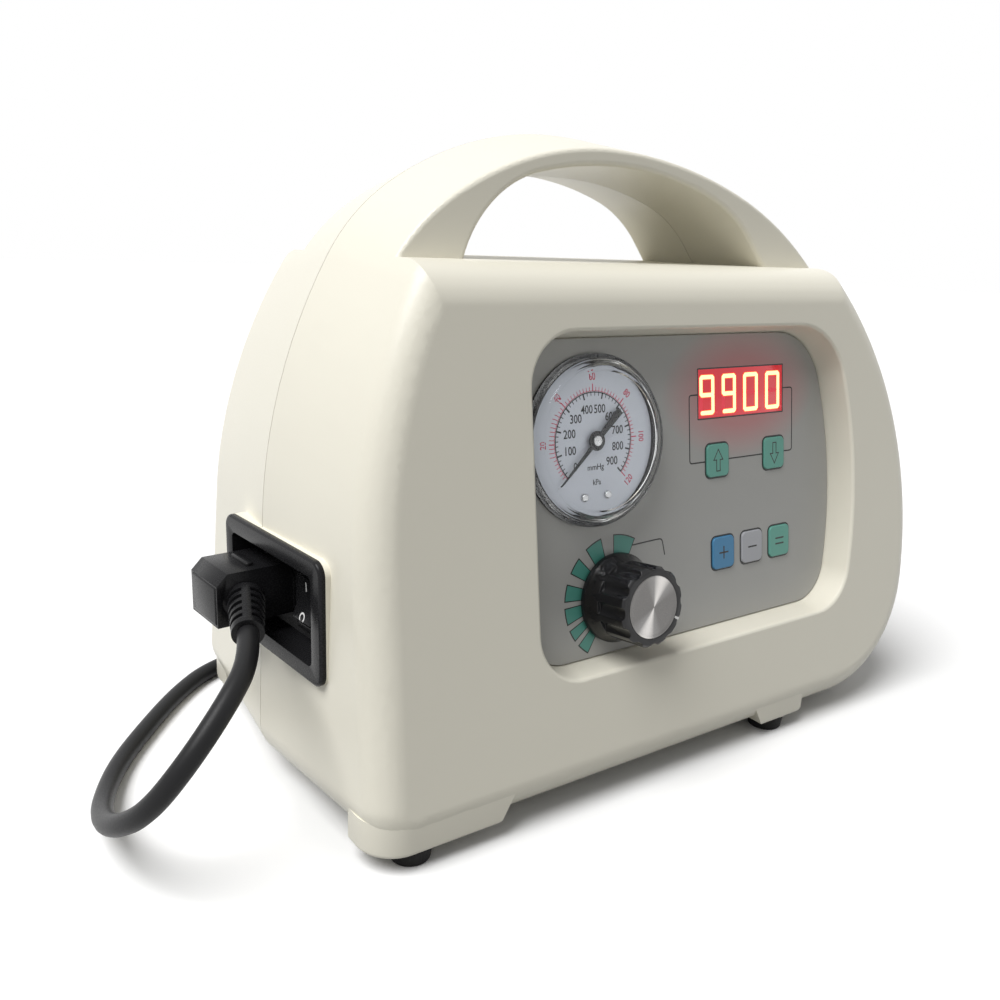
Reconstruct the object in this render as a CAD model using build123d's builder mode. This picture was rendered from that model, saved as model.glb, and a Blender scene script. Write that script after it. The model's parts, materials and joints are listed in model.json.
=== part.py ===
from build123d import *
import math
import os

# Pneumatic tourniquet machine: a moulded two-part housing with its handle, a
# recessed front panel with gauge, display, keys and knob, the mains inlet and
# its cord on the left, and the pump, valves and boards inside.
# Millimetres, Z up, the panel faces -Y, the origin is on the table under the
# middle of the machine.

# Housing outline, seen from the front at the parting line
foot_height = 7.0
side_lean = 2.3
base_end = 86.2
base_corner = 16.0
low_right_radius = 60.0
low_right_turn = 82.6
right_radius = 156.2
right_turn = 77.2
right_shoulder_radius = 213.4
right_shoulder_turn = 19.1
crown_radius = 128.3
crown_turn = 34.5
left_shoulder_radius = 75.0
left_shoulder_turn = 27.4
left_radius = 201.3

# Housing depth, seen from the side
front_depth = 81.6
rear_depth = 92.0
face_lean = 8.0
mould_draft = 5.5
rim_radius = 12.0
shelf_drop = 46.1
shelf_radius = 18.0
wall = 3.0
parting_gap = 0.3

# Handle and the hole for the hand
handle_reach = 37.0
handle_lean = 2.6
handle_edge = 2.0
hole_left = -86.8
hole_start_angle = 71.6
hole_left_radius = 41.4
hole_left_turn = 58.2
hole_top_radius = 144.6
hole_top_turn = 33.0
hole_right_radius = 55.7
hole_right_turn = 30.0
hole_foot = 20.0
hole_draft = 4.0

# Recess and panel, measured from the gauge's axis
gauge_x = -42.0
gauge_drop = 60.7
recess_depth = 12.1
recess_left = 35.0
recess_top = 38.9
recess_bottom = 83.0
recess_top_right = 121.9
recess_low_right = 130.0
recess_side_radius = 177.0
recess_left_corner = 19.0
recess_low_corner = 20.0
recess_high_corner = 30.0
recess_draft = 8.0
recess_wall = 2.5
recess_edge = 1.6
ledge_width = 7.0
ledge = 2.0
panel_gap = 0.3
panel_thickness = 1.5
overlay_thickness = 0.4

# Gauge
cover_radius = 31.5
cover_height = 8.0
cover_wall = 1.6
case_radius = 29.0
case_depth = 26.0
case_wall = 1.0
flange_thickness = 1.0
dial_radius = 27.8
dial_height = 0.2
dial_thickness = 0.8
needle_height = 1.6
needle_thickness = 0.5
needle_reach = 21.2
needle_tip = 1.5
needle_width = 1.8
needle_tail = 15.4
tail_width = 3.0
needle_rest = 3.0
hub_radius = 2.6
hub_height = 1.2
arbor_radius = 0.8
arbor_length = 18.0
dial_screw_radius = 1.5
dial_screw_spread = 10.8
dial_screw_drop = 20.2
dial_screw_height = 1.5
post_width = 4.4
movement_length = 16.0
movement_width = 12.0
movement_drop = 10.0
bourdon_radius = 15.5
bourdon_width = 2.5
bourdon_height = 6.0
bourdon_drop = 8.0
bourdon_link = 3.0
gauge_socket = 4.5

# Display and keys, measured from the gauge's axis
window_x = 79.1
window_y = 13.6
window_width = 50.3
window_height = 19.6
window_thickness = 1.6
key_width = 12.4
key_height = 13.2
key_corner = 2.2
key_rise = 0.8
key_travel = 0.4
key_gap = 0.25
upper_keys_y = -13.3
lower_keys_y = -51.5
key_up_x = 64.4
key_down_x = 98.4
key_inflate_x = 67.3
key_slow_x = 84.6
key_fast_x = 101.8
board_thickness = 1.6
board_gap = 8.0
board_margin = 20.0
board_over = 28.0
switch_width = 6.2
switch_height = 3.6
switch_stem = 1.7
key_flange = 1.0

# Knob and pressure regulator, measured from the gauge's axis
knob_x = 8.0
knob_y = -59.5
knob_lift = 1.2
skirt_radius = 17.0
knob_radius = 14.8
knob_rim_radius = 14.0
knob_height = 20.4
knob_flutes = 12
flute_radius = 3.4
cap_radius = 11.5
cap_thickness = 0.9
spindle_radius = 3.0
spindle_hold = 4.0
nut_width = 14.0
nut_thickness = 2.6
bush_radius = 4.9
regulator_radius = 14.0
regulator_depth = 34.0
regulator_ports = 14.0
spindle_depth = 10.0

# Mains inlet on the left side
inlet_y = -11.5
inlet_z = 77.0
inlet_turn = 4.5
inlet_length = 72.0
inlet_height = 43.5
inlet_border = 6.0
inlet_corner = 5.0
inlet_flange = 2.2
inlet_proud = 1.6
inlet_recess = 11.0
inlet_wall = 1.6
socket_x = -14.5
socket_length = 28.0
socket_height = 20.4
socket_depth = 17.0
socket_corner = 4.0
blade_width = 4.0
blade_thickness = 2.0
blade_reach = 13.0
blade_spread = 7.0
rocker_x = 12.0
rocker_width = 12.6
rocker_height = 19.0
rocker_depth = 12.0
rocker_rise = 2.2
rocker_tilt = 8.0
rocker_bezel = 2.2

# Connector and cord
cord_radius = 3.6
nose_length = 24.0
nose_height = 15.6
nose_reach = 14.4
nose_fit = 0.4
connector_length = 22.0
connector_height = 19.0
connector_reach = 17.5
connector_bevel = 4.0
relief_radius = 6.6
relief_tip_radius = 5.4
relief_length = 21.0
relief_ribs = 5
cord_route = [
    (-164, -28, 72), (-168.5, -41.5, 68.8), (-180, -53, 62), (-194, -58.5, 49), (-205, -52.5, 32.5),
    (-211, -36, 20.5), (-210.5, -14, 11), (-205.5, 8, 5.2), (-195, 31, cord_radius),
    (-179, 53, cord_radius), (-160.5, 76, cord_radius), (-140.5, 94, cord_radius),
    (-114, 101, cord_radius), (-88, 103, cord_radius), (-62.2, 103, cord_radius),
]
coil_radius = 50.0
coil_turns = 3
coil_gap = 0.6
coil_tail_radius = 26.0
plug_length = 42.0
plug_width = 28.0
plug_height = 22.4
plug_pin = 6.3
plug_pin_thickness = 1.6
plug_pin_reach = 18.0
plug_pin_spread = 6.35

# Feet and shell screws, measured from the parting line's datum
foot_radius = 8.0
foot_taper = 1.2
foot_left = -126.0
foot_right = 51.0
foot_spread = 70.0
pad_drop = 3.0
pad_left_end = -100.0
pad_right_start = 30.0
post_radius = 4.6
screw_radius = 1.5
screw_head_radius = 3.0
screw_head = 2.4
screw_seat = 24.0
screw_length = 34.0
foot_screw_bite = 4.5
foot_boss = 1.0
post_points = [(-134, 30), (-131, 122), (-84, 180), (50, 180), (118, 118), (104, 34)]

# Air outlet and vents in the rear wall, from the parting line's datum
outlet_x = 62.0
outlet_z = 62.0
outlet_bore = 4.0
outlet_bore_length = 12.0
outlet_thread = 6.5
outlet_collar = 10.0
outlet_collar_height = 3.0
outlet_spout = 6.0
outlet_spout_length = 12.0
vent_x = -40.0
vent_z = 60.0
vent_slots = 9
vent_pitch = 8.0
vent_length = 34.0
vent_width = 3.0

# Plate, boards, pump, valves and hoses inside
chassis_length = 190.0
chassis_width = 120.0
chassis_thickness = 1.5
nipple_length = 8.0
nipple_radius = 1.2
pump_x = 58.0
pump_y = 14.0
pump_motor_radius = 18.0
pump_motor_length = 46.0
pump_head_width = 44.0
pump_head_length = 30.0
pump_head_height = 46.0
pump_mount_radius = 5.0
pump_mount_height = 8.0
pump_ports = 20.0
supply_x = -63.0
supply_length = 70.0
supply_width = 62.0
supply_thickness = 1.6
transformer_length = 30.0
transformer_width = 26.0
transformer_height = 24.0
spacer_height = 6.0
spacer_radius = 3.0
capacitor_radius = 6.0
capacitor_height = 20.0
capacitor_spread = 20.0
board_edge = 4.0
main_board_x = 35.0
main_board_y = -34.0
main_board_length = 90.0
main_board_width = 40.0
valve_block_x = 34.0
valve_block_y = 48.0
valve_block_length = 68.0
valve_block_width = 20.0
valve_block_height = 18.0
valve_x = 38.0
valve_count = 3
valve_pitch = 14.0
valve_radius = 6.5
valve_height = 24.0
cuff_port_x = 62.0
gauge_port_x = 13.0
supply_port_x = 4.0
sensor_size = 12.0
sensor_depth = 5.0
tube_radius = 2.0
tube_bore = 1.25
tube_lead = 24.0

# Running and seating clearances
fit = 0.3
slide_fit = 0.2
turn_fit = 0.05

lean = math.radians(face_lean)
arch_turns = [
    (low_right_radius, low_right_turn),
    (right_radius, right_turn),
    (right_shoulder_radius, right_shoulder_turn),
    (crown_radius, crown_turn),
    (left_shoulder_radius, left_shoulder_turn),
]
left_turn = 270 - side_lean - sum(turn for radius, turn in arch_turns)
arch_turns.append((left_radius, left_turn))

os.makedirs("parts", exist_ok=True)


def arch(plane, inset):
    """The housing outline on a plane, drawn in by an inset on every side but the base."""
    with BuildSketch(plane) as outline:
        with BuildLine():
            start = (base_end, foot_height)
            first_radius, first_turn = arch_turns[0]
            run = JernArc(start, (1, 0), first_radius - inset, first_turn)
            for radius, turn in arch_turns[1:]:
                run = JernArc(run @ 1, run % 1, radius - inset, turn)
            shoulder = run @ 1
            spread = (shoulder.Y - foot_height) * math.tan(math.radians(side_lean))
            corner = (shoulder.X - spread, foot_height)
            Polyline(shoulder, corner, start)
        make_face()
        fillet(outline.vertices().sort_by_distance(corner)[0], base_corner)
    return outline.sketch


# Heights that hang from the crown, and the machine's middle at the origin
outline_box = arch(Plane.XZ, 0).bounding_box()
crown_height = outline_box.max.Z
shelf_height = crown_height - shelf_drop
gauge_height = shelf_height - gauge_drop
turn_in = math.radians(inlet_turn)
side_rise = inlet_z - foot_height - base_corner
inlet_x = outline_box.min.X + side_rise * math.tan(math.radians(side_lean)) - inlet_proud
left_reach = inlet_x - inlet_length / 2 * math.sin(turn_in)
middle_x = -(left_reach + outline_box.max.X) / 2
knob_front = (knob_y - knob_rim_radius) * math.sin(lean) - (knob_height + knob_lift) * math.cos(lean)
gauge_reach = front_depth - (gauge_height - foot_height) * math.tan(lean) - recess_depth / math.cos(lean)
front_reach = max(gauge_reach - knob_front, front_depth)
outlet_wall = rear_depth - (outlet_z - foot_height) * math.tan(lean)
rear_reach = outlet_wall + outlet_spout_length * math.cos(lean) + outlet_spout * math.sin(lean)
split_y = (front_reach - rear_reach) / 2

split_plane = Plane((middle_x, split_y, 0), x_dir=(1, 0, 0), z_dir=(0, -1, 0))
side_plane = Plane((middle_x, split_y, 0), x_dir=(0, 1, 0), z_dir=(1, 0, 0))
front_y = split_y - front_depth + (gauge_height - foot_height) * math.tan(lean)
front_plane = Plane(
    (middle_x + gauge_x, front_y, gauge_height),
    x_dir=(1, 0, 0),
    z_dir=(0, -math.cos(lean), math.sin(lean)),
)
panel_plane = front_plane.offset(-recess_depth)
panel_axis = Axis(panel_plane.origin, panel_plane.z_dir)
inlet_plane = Plane(
    (middle_x + inlet_x, split_y + inlet_y, inlet_z),
    x_dir=(math.sin(turn_in), -math.cos(turn_in), 0),
    z_dir=(-math.cos(turn_in), -math.sin(turn_in), 0),
)


def half_body(side, depth, inset):
    """Half of the housing, side -1 in front and 1 behind, or of its inside, drawn in by an inset."""
    floor = foot_height + inset + (pad_drop if inset else 0)
    shelf = shelf_height - inset
    crown = crown_height + rim_radius
    reach_across = outline_box.size.X
    reach = depth - inset / math.cos(lean) - (floor - foot_height) * math.tan(lean)
    shelf_reach = reach - (shelf - floor) * math.tan(lean)
    crown_reach = reach - (crown - floor) * math.tan(lean)
    near = split_plane.offset(0 if inset else -side * parting_gap / 2)
    far = split_plane.offset(-side * depth)
    draw_in = depth * math.tan(math.radians(mould_draft))
    with BuildPart() as body:
        loft([arch(near, inset), arch(far, inset + draw_in)], ruled=True)
        with BuildSketch(side_plane):
            Polygon((0, floor), (side * reach, floor), (side * crown_reach, crown), (0, crown), align=None)
        extrude(amount=reach_across, both=True, mode=Mode.INTERSECT)
        rim = body.faces().filter_by(lambda face: side * face.normal_at().Y > 0.9)
        fillet(rim.edges(), rim_radius - inset)
        with BuildSketch(side_plane) as profile:
            with BuildLine():
                slope = [(side * reach * 1.2, 0), (side * reach * 1.2, floor), (side * reach, floor)]
                ledge_line = [(side * shelf_reach, shelf)]
                if inset:
                    top = [(0, shelf)]
                else:
                    top = [
                        (side * handle_reach, shelf),
                        (side * (handle_reach - handle_lean), crown),
                        (0, crown),
                    ]
                Polyline((0, 0), *slope, *ledge_line, *top, close=True)
            make_face()
            shelf_depth = shelf_reach - handle_reach - handle_edge
            fillet(
                profile.vertices().sort_by_distance((side * shelf_reach, shelf))[0],
                min(shelf_radius, shelf_depth) - inset,
            )
        extrude(amount=reach_across, both=True, mode=Mode.INTERSECT)
    return body.part


def recess_outline(plane, inset):
    """The recess in the front on a plane, drawn in by an inset."""
    with BuildSketch(plane) as outline:
        with BuildLine():
            high = (recess_top_right, recess_top)
            low = (recess_low_right, -recess_bottom)
            Polyline(high, (-recess_left, recess_top), (-recess_left, -recess_bottom), low)
            RadiusArc(low, high, -recess_side_radius)
        make_face()
        fillet(outline.vertices().sort_by_distance(high)[0], recess_high_corner)
        fillet(outline.vertices().sort_by_distance(low)[0], recess_low_corner)
        fillet(outline.vertices().sort_by(Axis.X)[:2], recess_left_corner)
        if inset:
            offset(amount=-inset, kind=Kind.INTERSECTION)
    return outline.sketch


# The hole for the hand, from shelf to shelf under the handle
with BuildPart() as hand_hole:
    with BuildSketch(split_plane):
        with BuildLine():
            rise = math.radians(hole_start_angle)
            hole_start = (hole_left - hole_foot / math.tan(rise), shelf_height - hole_foot)
            foot_line = PolarLine(hole_start, hole_foot / math.sin(rise), hole_start_angle)
            left_arc = JernArc(foot_line @ 1, foot_line % 1, hole_left_radius, -hole_left_turn)
            top_arc = JernArc(left_arc @ 1, left_arc % 1, hole_top_radius, -hole_top_turn)
            right_arc = JernArc(top_arc @ 1, top_arc % 1, hole_right_radius, -hole_right_turn)
            fall = (right_arc @ 1).Y - shelf_height + hole_foot
            down_line = PolarLine(
                right_arc @ 1, -fall, hole_start_angle - hole_left_turn - hole_top_turn - hole_right_turn,
                length_mode=LengthMode.VERTICAL,
            )
            Line(down_line @ 1, hole_start)
        make_face()
    extrude(amount=rear_depth, taper=-hole_draft)
    mirror(about=split_plane)
    split(bisect_by=Plane.XY.offset(shelf_height), keep=Keep.TOP)


# The walls of the recess, which stay in the front shell's hollow
stack = overlay_thickness + panel_thickness
tub_start = wall / 2
with BuildPart() as tub:
    extrude(
        recess_outline(front_plane.offset(-tub_start), -recess_wall),
        amount=-(recess_depth + stack + ledge - tub_start),
        taper=recess_draft,
    )

# The hollow of each shell, with its screw posts left standing
with BuildPart() as front_cavity:
    add(half_body(-1, front_depth, wall))
    with BuildSketch(split_plane):
        with Locations(*post_points):
            Circle(post_radius)
    extrude(amount=front_depth, mode=Mode.SUBTRACT)
    add(tub.part, mode=Mode.SUBTRACT)

with BuildPart() as rear_cavity:
    add(half_body(1, rear_depth, wall))
    with BuildSketch(split_plane):
        with Locations(*post_points):
            Circle(post_radius)
    extrude(amount=-rear_depth, mode=Mode.SUBTRACT)

# A flat seat for the inlet's flange, and the opening behind it
box_length = inlet_length - 2 * inlet_border + 2 * inlet_wall
box_height = inlet_height - 2 * inlet_border + 2 * inlet_wall
with BuildPart() as inlet_seat:
    with BuildSketch(inlet_plane.offset(-inlet_flange)):
        RectangleRounded(inlet_length, inlet_height, inlet_corner)
    extrude(amount=-2 * wall)

with BuildPart() as inlet_opening:
    with BuildSketch(inlet_plane.offset(-inlet_flange)):
        RectangleRounded(inlet_length + fit, inlet_height + fit, inlet_corner + fit / 2)
    extrude(amount=4 * wall)
    with BuildSketch(inlet_plane):
        Rectangle(box_length + fit, box_height + fit)
    extrude(amount=-6 * wall)

# The gap under the machine between its four corner pads
with BuildPart() as underside:
    with BuildSketch(Plane.XY.offset(foot_height)):
        with Locations((middle_x + (pad_left_end + pad_right_start) / 2, split_y)):
            Rectangle(pad_right_start - pad_left_end, 2 * (front_depth + rear_depth))
    extrude(amount=pad_drop)
    split(bisect_by=Plane.XY.offset(foot_height - 1), keep=Keep.TOP)

rear_y = split_y + rear_depth
rear_plane = Plane(
    (middle_x, rear_y, foot_height),
    x_dir=(-1, 0, 0),
    z_dir=(0, math.cos(lean), math.sin(lean)),
)


def up_rear(height):
    """Distance up the rear wall of a point at a height."""
    return (height - foot_height) / math.cos(lean)


# Rubber feet under the four corners, each screwed into a boss of its shell
foot_places = {
    "front_left": (foot_left, -foot_spread),
    "front_right": (foot_right, -foot_spread),
    "rear_left": (foot_left, foot_spread),
    "rear_right": (foot_right, foot_spread),
}


def foot_bosses(side):
    """The bosses above the two feet of one shell, side -1 in front and 1 behind."""
    spots = [(middle_x + x, split_y + y) for x, y in foot_places.values() if side * y > 0]
    with BuildPart() as bosses:
        with BuildSketch(Plane.XY.offset(foot_height)):
            with Locations(*spots):
                Circle(foot_radius + foot_boss)
        extrude(amount=pad_drop + wall)
    with BuildPart() as holes:
        with BuildSketch(Plane.XY.offset(foot_height)):
            with Locations(*spots):
                Circle(screw_radius)
        extrude(amount=foot_screw_bite + turn_fit)
    return bosses.part, holes.part


# Front shell
with BuildPart() as front_shell:
    add(half_body(-1, front_depth, 0))
    add(hand_hole.part, mode=Mode.SUBTRACT)
    handle_face = front_shell.faces().filter_by(
        lambda face: face.normal_at().Y < -0.9 and face.center().Z > shelf_height + 1
    )
    fillet(handle_face.edges().filter_by(lambda edge: edge.center().Z > shelf_height + 0.5), handle_edge)
    add(front_cavity.part, mode=Mode.SUBTRACT)
    add(foot_bosses(-1)[0])
    add(foot_bosses(-1)[1], mode=Mode.SUBTRACT)
    add(inlet_seat.part.split(split_plane.offset(parting_gap / 2), keep=Keep.TOP))
    extrude(
        recess_outline(front_plane, 0), amount=-(recess_depth + stack), taper=recess_draft, mode=Mode.SUBTRACT
    )
    lip_inset = (recess_depth + stack) * math.tan(math.radians(recess_draft)) + ledge_width
    extrude(recess_outline(panel_plane, lip_inset), amount=-(stack + 2 * ledge), mode=Mode.SUBTRACT)
    with BuildSketch(panel_plane):
        Circle(cover_radius + fit)
    extrude(amount=-(stack + 2 * ledge), mode=Mode.SUBTRACT)
    front_faces = front_shell.faces().filter_by(lambda face: face.normal_at().Y < -0.9)
    fillet(front_faces.sort_by(SortBy.AREA)[-1].inner_wires()[0].edges(), recess_edge)
    add(inlet_opening.part, mode=Mode.SUBTRACT)
    add(underside.part, mode=Mode.SUBTRACT)
    with BuildSketch(split_plane):
        with Locations(*post_points):
            Circle(screw_radius)
    extrude(amount=screw_length - screw_seat + 2, mode=Mode.SUBTRACT)
front_shell.part.label = "front_shell"
export_step(front_shell.part, "parts/front_shell.step")

# Rear shell, with its screw wells, vents and the hole of the air outlet
with BuildPart() as rear_shell:
    add(half_body(1, rear_depth, 0))
    add(hand_hole.part, mode=Mode.SUBTRACT)
    handle_face = rear_shell.faces().filter_by(
        lambda face: face.normal_at().Y > 0.9 and face.center().Z > shelf_height + 1
    )
    fillet(handle_face.edges().filter_by(lambda edge: edge.center().Z > shelf_height + 0.5), handle_edge)
    add(rear_cavity.part, mode=Mode.SUBTRACT)
    add(foot_bosses(1)[0])
    add(foot_bosses(1)[1], mode=Mode.SUBTRACT)
    add(inlet_seat.part.split(split_plane.offset(-parting_gap / 2), keep=Keep.BOTTOM))
    add(inlet_opening.part, mode=Mode.SUBTRACT)
    add(underside.part, mode=Mode.SUBTRACT)
    with BuildSketch(split_plane):
        with Locations(*post_points):
            Circle(screw_radius + slide_fit)
    extrude(amount=-screw_seat, mode=Mode.SUBTRACT)
    with BuildSketch(split_plane.offset(-screw_seat)):
        with Locations(*post_points):
            Circle(screw_head_radius + fit)
    extrude(amount=-rear_depth, mode=Mode.SUBTRACT)
    with BuildSketch(rear_plane):
        with Locations((-vent_x, up_rear(vent_z))):
            with GridLocations(vent_pitch, 0, vent_slots, 1):
                SlotOverall(vent_length, vent_width, rotation=90)
        with Locations((-outlet_x, up_rear(outlet_z))):
            Circle(outlet_thread + slide_fit)
    extrude(amount=-2 * wall, mode=Mode.SUBTRACT)
rear_shell.part.label = "rear_shell"
export_step(rear_shell.part, "parts/rear_shell.step")

# Shell screws, driven from behind into the front posts
with BuildPart() as shell_screws:
    with BuildSketch(split_plane.offset(-screw_seat)):
        with Locations(*post_points):
            Circle(screw_head_radius)
    extrude(amount=-screw_head)
    with BuildSketch(split_plane.offset(-screw_seat)):
        with Locations(*post_points):
            Circle(screw_radius - turn_fit)
    extrude(amount=screw_length)
shell_screws.part.label = "shell_screws"
export_step(shell_screws.part, "parts/shell_screws.step")

# Feet with their screws from below
for foot_name, (foot_x, foot_y) in foot_places.items():
    foot_plane = Plane((middle_x + foot_x, split_y + foot_y, 0))
    with BuildPart() as foot:
        with BuildSketch(foot_plane):
            Circle(foot_radius - foot_taper)
        with BuildSketch(foot_plane.offset(foot_height)):
            Circle(foot_radius)
        loft()
        with BuildSketch(foot_plane):
            Circle(screw_head_radius + slide_fit)
        extrude(amount=foot_height / 2, mode=Mode.SUBTRACT)
        with BuildSketch(foot_plane):
            Circle(screw_radius)
        extrude(amount=foot_height, mode=Mode.SUBTRACT)
    foot.part.label = "foot_" + foot_name
    export_step(foot.part, "parts/foot_" + foot_name + ".step")

with BuildPart() as foot_screws:
    for foot_x, foot_y in foot_places.values():
        screw_plane = Plane((middle_x + foot_x, split_y + foot_y, foot_height / 2))
        with BuildSketch(screw_plane):
            Circle(screw_head_radius)
        extrude(amount=-screw_head)
        with BuildSketch(screw_plane):
            Circle(screw_radius - turn_fit)
        extrude(amount=foot_height / 2 + foot_screw_bite)
foot_screws.part.label = "foot_screws"
export_step(foot_screws.part, "parts/foot_screws.step")

# Panel plate and its printed overlay, seated on the ledge in the recess
panel_inset = (recess_depth + stack) * math.tan(math.radians(recess_draft)) + panel_gap
key_places = {
    "key_up": (key_up_x, upper_keys_y),
    "key_down": (key_down_x, upper_keys_y),
    "key_inflate": (key_inflate_x, lower_keys_y),
    "key_slow_release": (key_slow_x, lower_keys_y),
    "key_fast_release": (key_fast_x, lower_keys_y),
}


def panel_sheet(plane, thickness, gauge_radius, bush_hole):
    """A sheet the size of the panel, with its openings."""
    with BuildPart() as sheet:
        extrude(recess_outline(plane, panel_inset), amount=thickness)
        with BuildSketch(plane):
            Circle(gauge_radius)
            with Locations((knob_x, knob_y)):
                Circle(bush_hole)
            with Locations((window_x, window_y)):
                Rectangle(window_width, window_height)
            with Locations(*key_places.values()):
                RectangleRounded(key_width + 2 * key_gap, key_height + 2 * key_gap, key_corner + key_gap)
        extrude(amount=thickness, mode=Mode.SUBTRACT)
    return sheet.part


with BuildPart() as panel_plate:
    add(panel_sheet(panel_plane.offset(-stack), panel_thickness, case_radius + slide_fit, bush_radius + slide_fit))
panel_plate.part.label = "panel_plate"
export_step(panel_plate.part, "parts/panel_plate.step")

with BuildPart() as panel_overlay:
    add(panel_sheet(
        panel_plane.offset(-overlay_thickness), overlay_thickness, case_radius + slide_fit, bush_radius + slide_fit
    ))
panel_overlay.part.label = "panel_overlay"
export_step(panel_overlay.part, "parts/panel_overlay.step")

# Gauge: case with its flange on the panel, ring nut behind, dial, needle and clear cover
with BuildPart() as gauge_case:
    with BuildSketch(panel_plane.offset(-case_depth)):
        Circle(case_radius)
    extrude(amount=case_depth)
    with BuildSketch(panel_plane):
        Circle(cover_radius)
    extrude(amount=flange_thickness)
    with BuildSketch(panel_plane.offset(flange_thickness)):
        Circle(case_radius - case_wall)
    extrude(amount=case_wall - flange_thickness - case_depth, mode=Mode.SUBTRACT)
    with BuildSketch(panel_plane.offset(-case_depth - nipple_length)):
        Circle(gauge_socket)
    extrude(amount=nipple_length)
    with BuildSketch(panel_plane.offset(-case_depth - 2 * nipple_length)):
        Circle(nipple_radius)
    extrude(amount=nipple_length)
gauge_case.part.label = "gauge_case"
export_step(gauge_case.part, "parts/gauge_case.step")

with BuildPart() as gauge_ring:
    with BuildSketch(panel_plane.offset(-stack)):
        Circle(cover_radius - 0.5)
        Circle(case_radius + turn_fit, mode=Mode.SUBTRACT)
    extrude(amount=-2 * ledge)
gauge_ring.part.label = "gauge_ring"
export_step(gauge_ring.part, "parts/gauge_ring.step")

with BuildPart() as gauge_cover:
    with BuildSketch(panel_plane.offset(flange_thickness)):
        Circle(cover_radius)
    extrude(amount=cover_height - flange_thickness)
    fillet(gauge_cover.faces().sort_by(panel_axis)[-1].edges(), cover_wall)
    with BuildSketch(panel_plane.offset(flange_thickness)):
        Circle(cover_radius - cover_wall)
    extrude(amount=cover_height - flange_thickness - cover_wall, mode=Mode.SUBTRACT)
gauge_cover.part.label = "gauge_cover"
export_step(gauge_cover.part, "parts/gauge_cover.step")

# The movement stands in the case and carries the dial and the arbor's bearing
with BuildPart() as gauge_movement:
    with BuildSketch(panel_plane.offset(case_wall - case_depth)):
        Rectangle(movement_length, movement_width)
    extrude(amount=case_depth - case_wall - movement_drop)
    with BuildSketch(panel_plane.offset(case_wall - case_depth)):
        with GridLocations(dial_screw_spread, 2 * dial_screw_drop, 2, 2):
            Circle(post_width / 2)
    extrude(amount=case_depth - case_wall + dial_height - dial_thickness)
    with BuildSketch(panel_plane):
        Circle(arbor_radius + turn_fit)
    extrude(amount=-arbor_length - slide_fit, mode=Mode.SUBTRACT)
gauge_movement.part.label = "gauge_movement"
export_step(gauge_movement.part, "parts/gauge_movement.step")

with BuildPart() as bourdon_tube:
    with BuildSketch(panel_plane.offset(-bourdon_drop)):
        Circle(bourdon_radius)
        Circle(bourdon_radius - bourdon_width, mode=Mode.SUBTRACT)
        with Locations((bourdon_radius / 2, 0)):
            Rectangle(bourdon_radius, movement_width, mode=Mode.SUBTRACT)
        with Locations((-(movement_length / 2 + bourdon_radius - bourdon_width / 2) / 2, 0)):
            Rectangle(bourdon_radius - bourdon_width / 2 - movement_length / 2, bourdon_link)
    extrude(amount=-bourdon_height)
bourdon_tube.part.label = "bourdon_tube"
export_step(bourdon_tube.part, "parts/bourdon_tube.step")

with BuildPart() as gauge_dial:
    with BuildSketch(panel_plane.offset(dial_height - dial_thickness)):
        Circle(dial_radius)
        Circle(arbor_radius + slide_fit, mode=Mode.SUBTRACT)
    extrude(amount=dial_thickness)
gauge_dial.part.label = "gauge_dial"
export_step(gauge_dial.part, "parts/gauge_dial.step")

with BuildPart() as dial_screws:
    with BuildSketch(panel_plane.offset(dial_height)):
        with Locations((-dial_screw_spread / 2, -dial_screw_drop), (dial_screw_spread / 2, -dial_screw_drop)):
            Circle(dial_screw_radius)
    extrude(amount=dial_screw_height)
    fillet(dial_screws.faces().sort_by(panel_axis)[-2:].edges(), dial_screw_radius * 0.7)
dial_screws.part.label = "dial_screws"
export_step(dial_screws.part, "parts/dial_screws.step")

# The needle rests near the bottom left of the dial, its broad tail opposite
needle_plane = panel_plane.offset(needle_height)
with BuildPart() as gauge_needle:
    with BuildSketch(needle_plane):
        Circle(hub_radius + 1.0)
        blade, point = needle_width / 2, needle_thickness / 2
        Polygon(
            (-blade, 0), (blade, 0), (point, -needle_reach), (0, -needle_reach - needle_tip), (-point, -needle_reach),
            align=None,
        )
        Polygon((-blade, 0), (blade, 0), (tail_width / 2, needle_tail), (-tail_width / 2, needle_tail), align=None)
    extrude(amount=needle_thickness)
    with BuildSketch(needle_plane):
        Circle(hub_radius)
    extrude(amount=hub_height - needle_thickness)
    with BuildSketch(needle_plane):
        Circle(arbor_radius)
    extrude(amount=-needle_height - arbor_length)
gauge_needle.part = gauge_needle.part.rotate(panel_axis, -45 - needle_rest)
gauge_needle.part.label = "gauge_needle"
export_step(gauge_needle.part, "parts/gauge_needle.step")

# Display window, digit module and the board that carries it and the keys
with BuildPart() as display_window:
    with BuildSketch(panel_plane):
        with Locations((window_x, window_y)):
            Rectangle(window_width - 2 * turn_fit, window_height - 2 * turn_fit)
    extrude(amount=-stack)
display_window.part.label = "display_window"
export_step(display_window.part, "parts/display_window.step")

board_front = stack + board_gap
with BuildPart() as display_module:
    with BuildSketch(panel_plane.offset(-stack)):
        with Locations((window_x, window_y)):
            Rectangle(window_width + 2, window_height + 2)
    extrude(amount=stack - board_front)
display_module.part.label = "display_module"
export_step(display_module.part, "parts/display_module.step")

board_y = (window_y + lower_keys_y) / 2
board_width = window_width + board_margin
board_height = window_y - lower_keys_y + board_over
with BuildPart() as panel_board:
    with BuildSketch(panel_plane.offset(-board_front)):
        with Locations((window_x, board_y)):
            Rectangle(board_width, board_height)
    extrude(amount=-board_thickness)
panel_board.part.label = "panel_board"
export_step(panel_board.part, "parts/panel_board.step")

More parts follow.
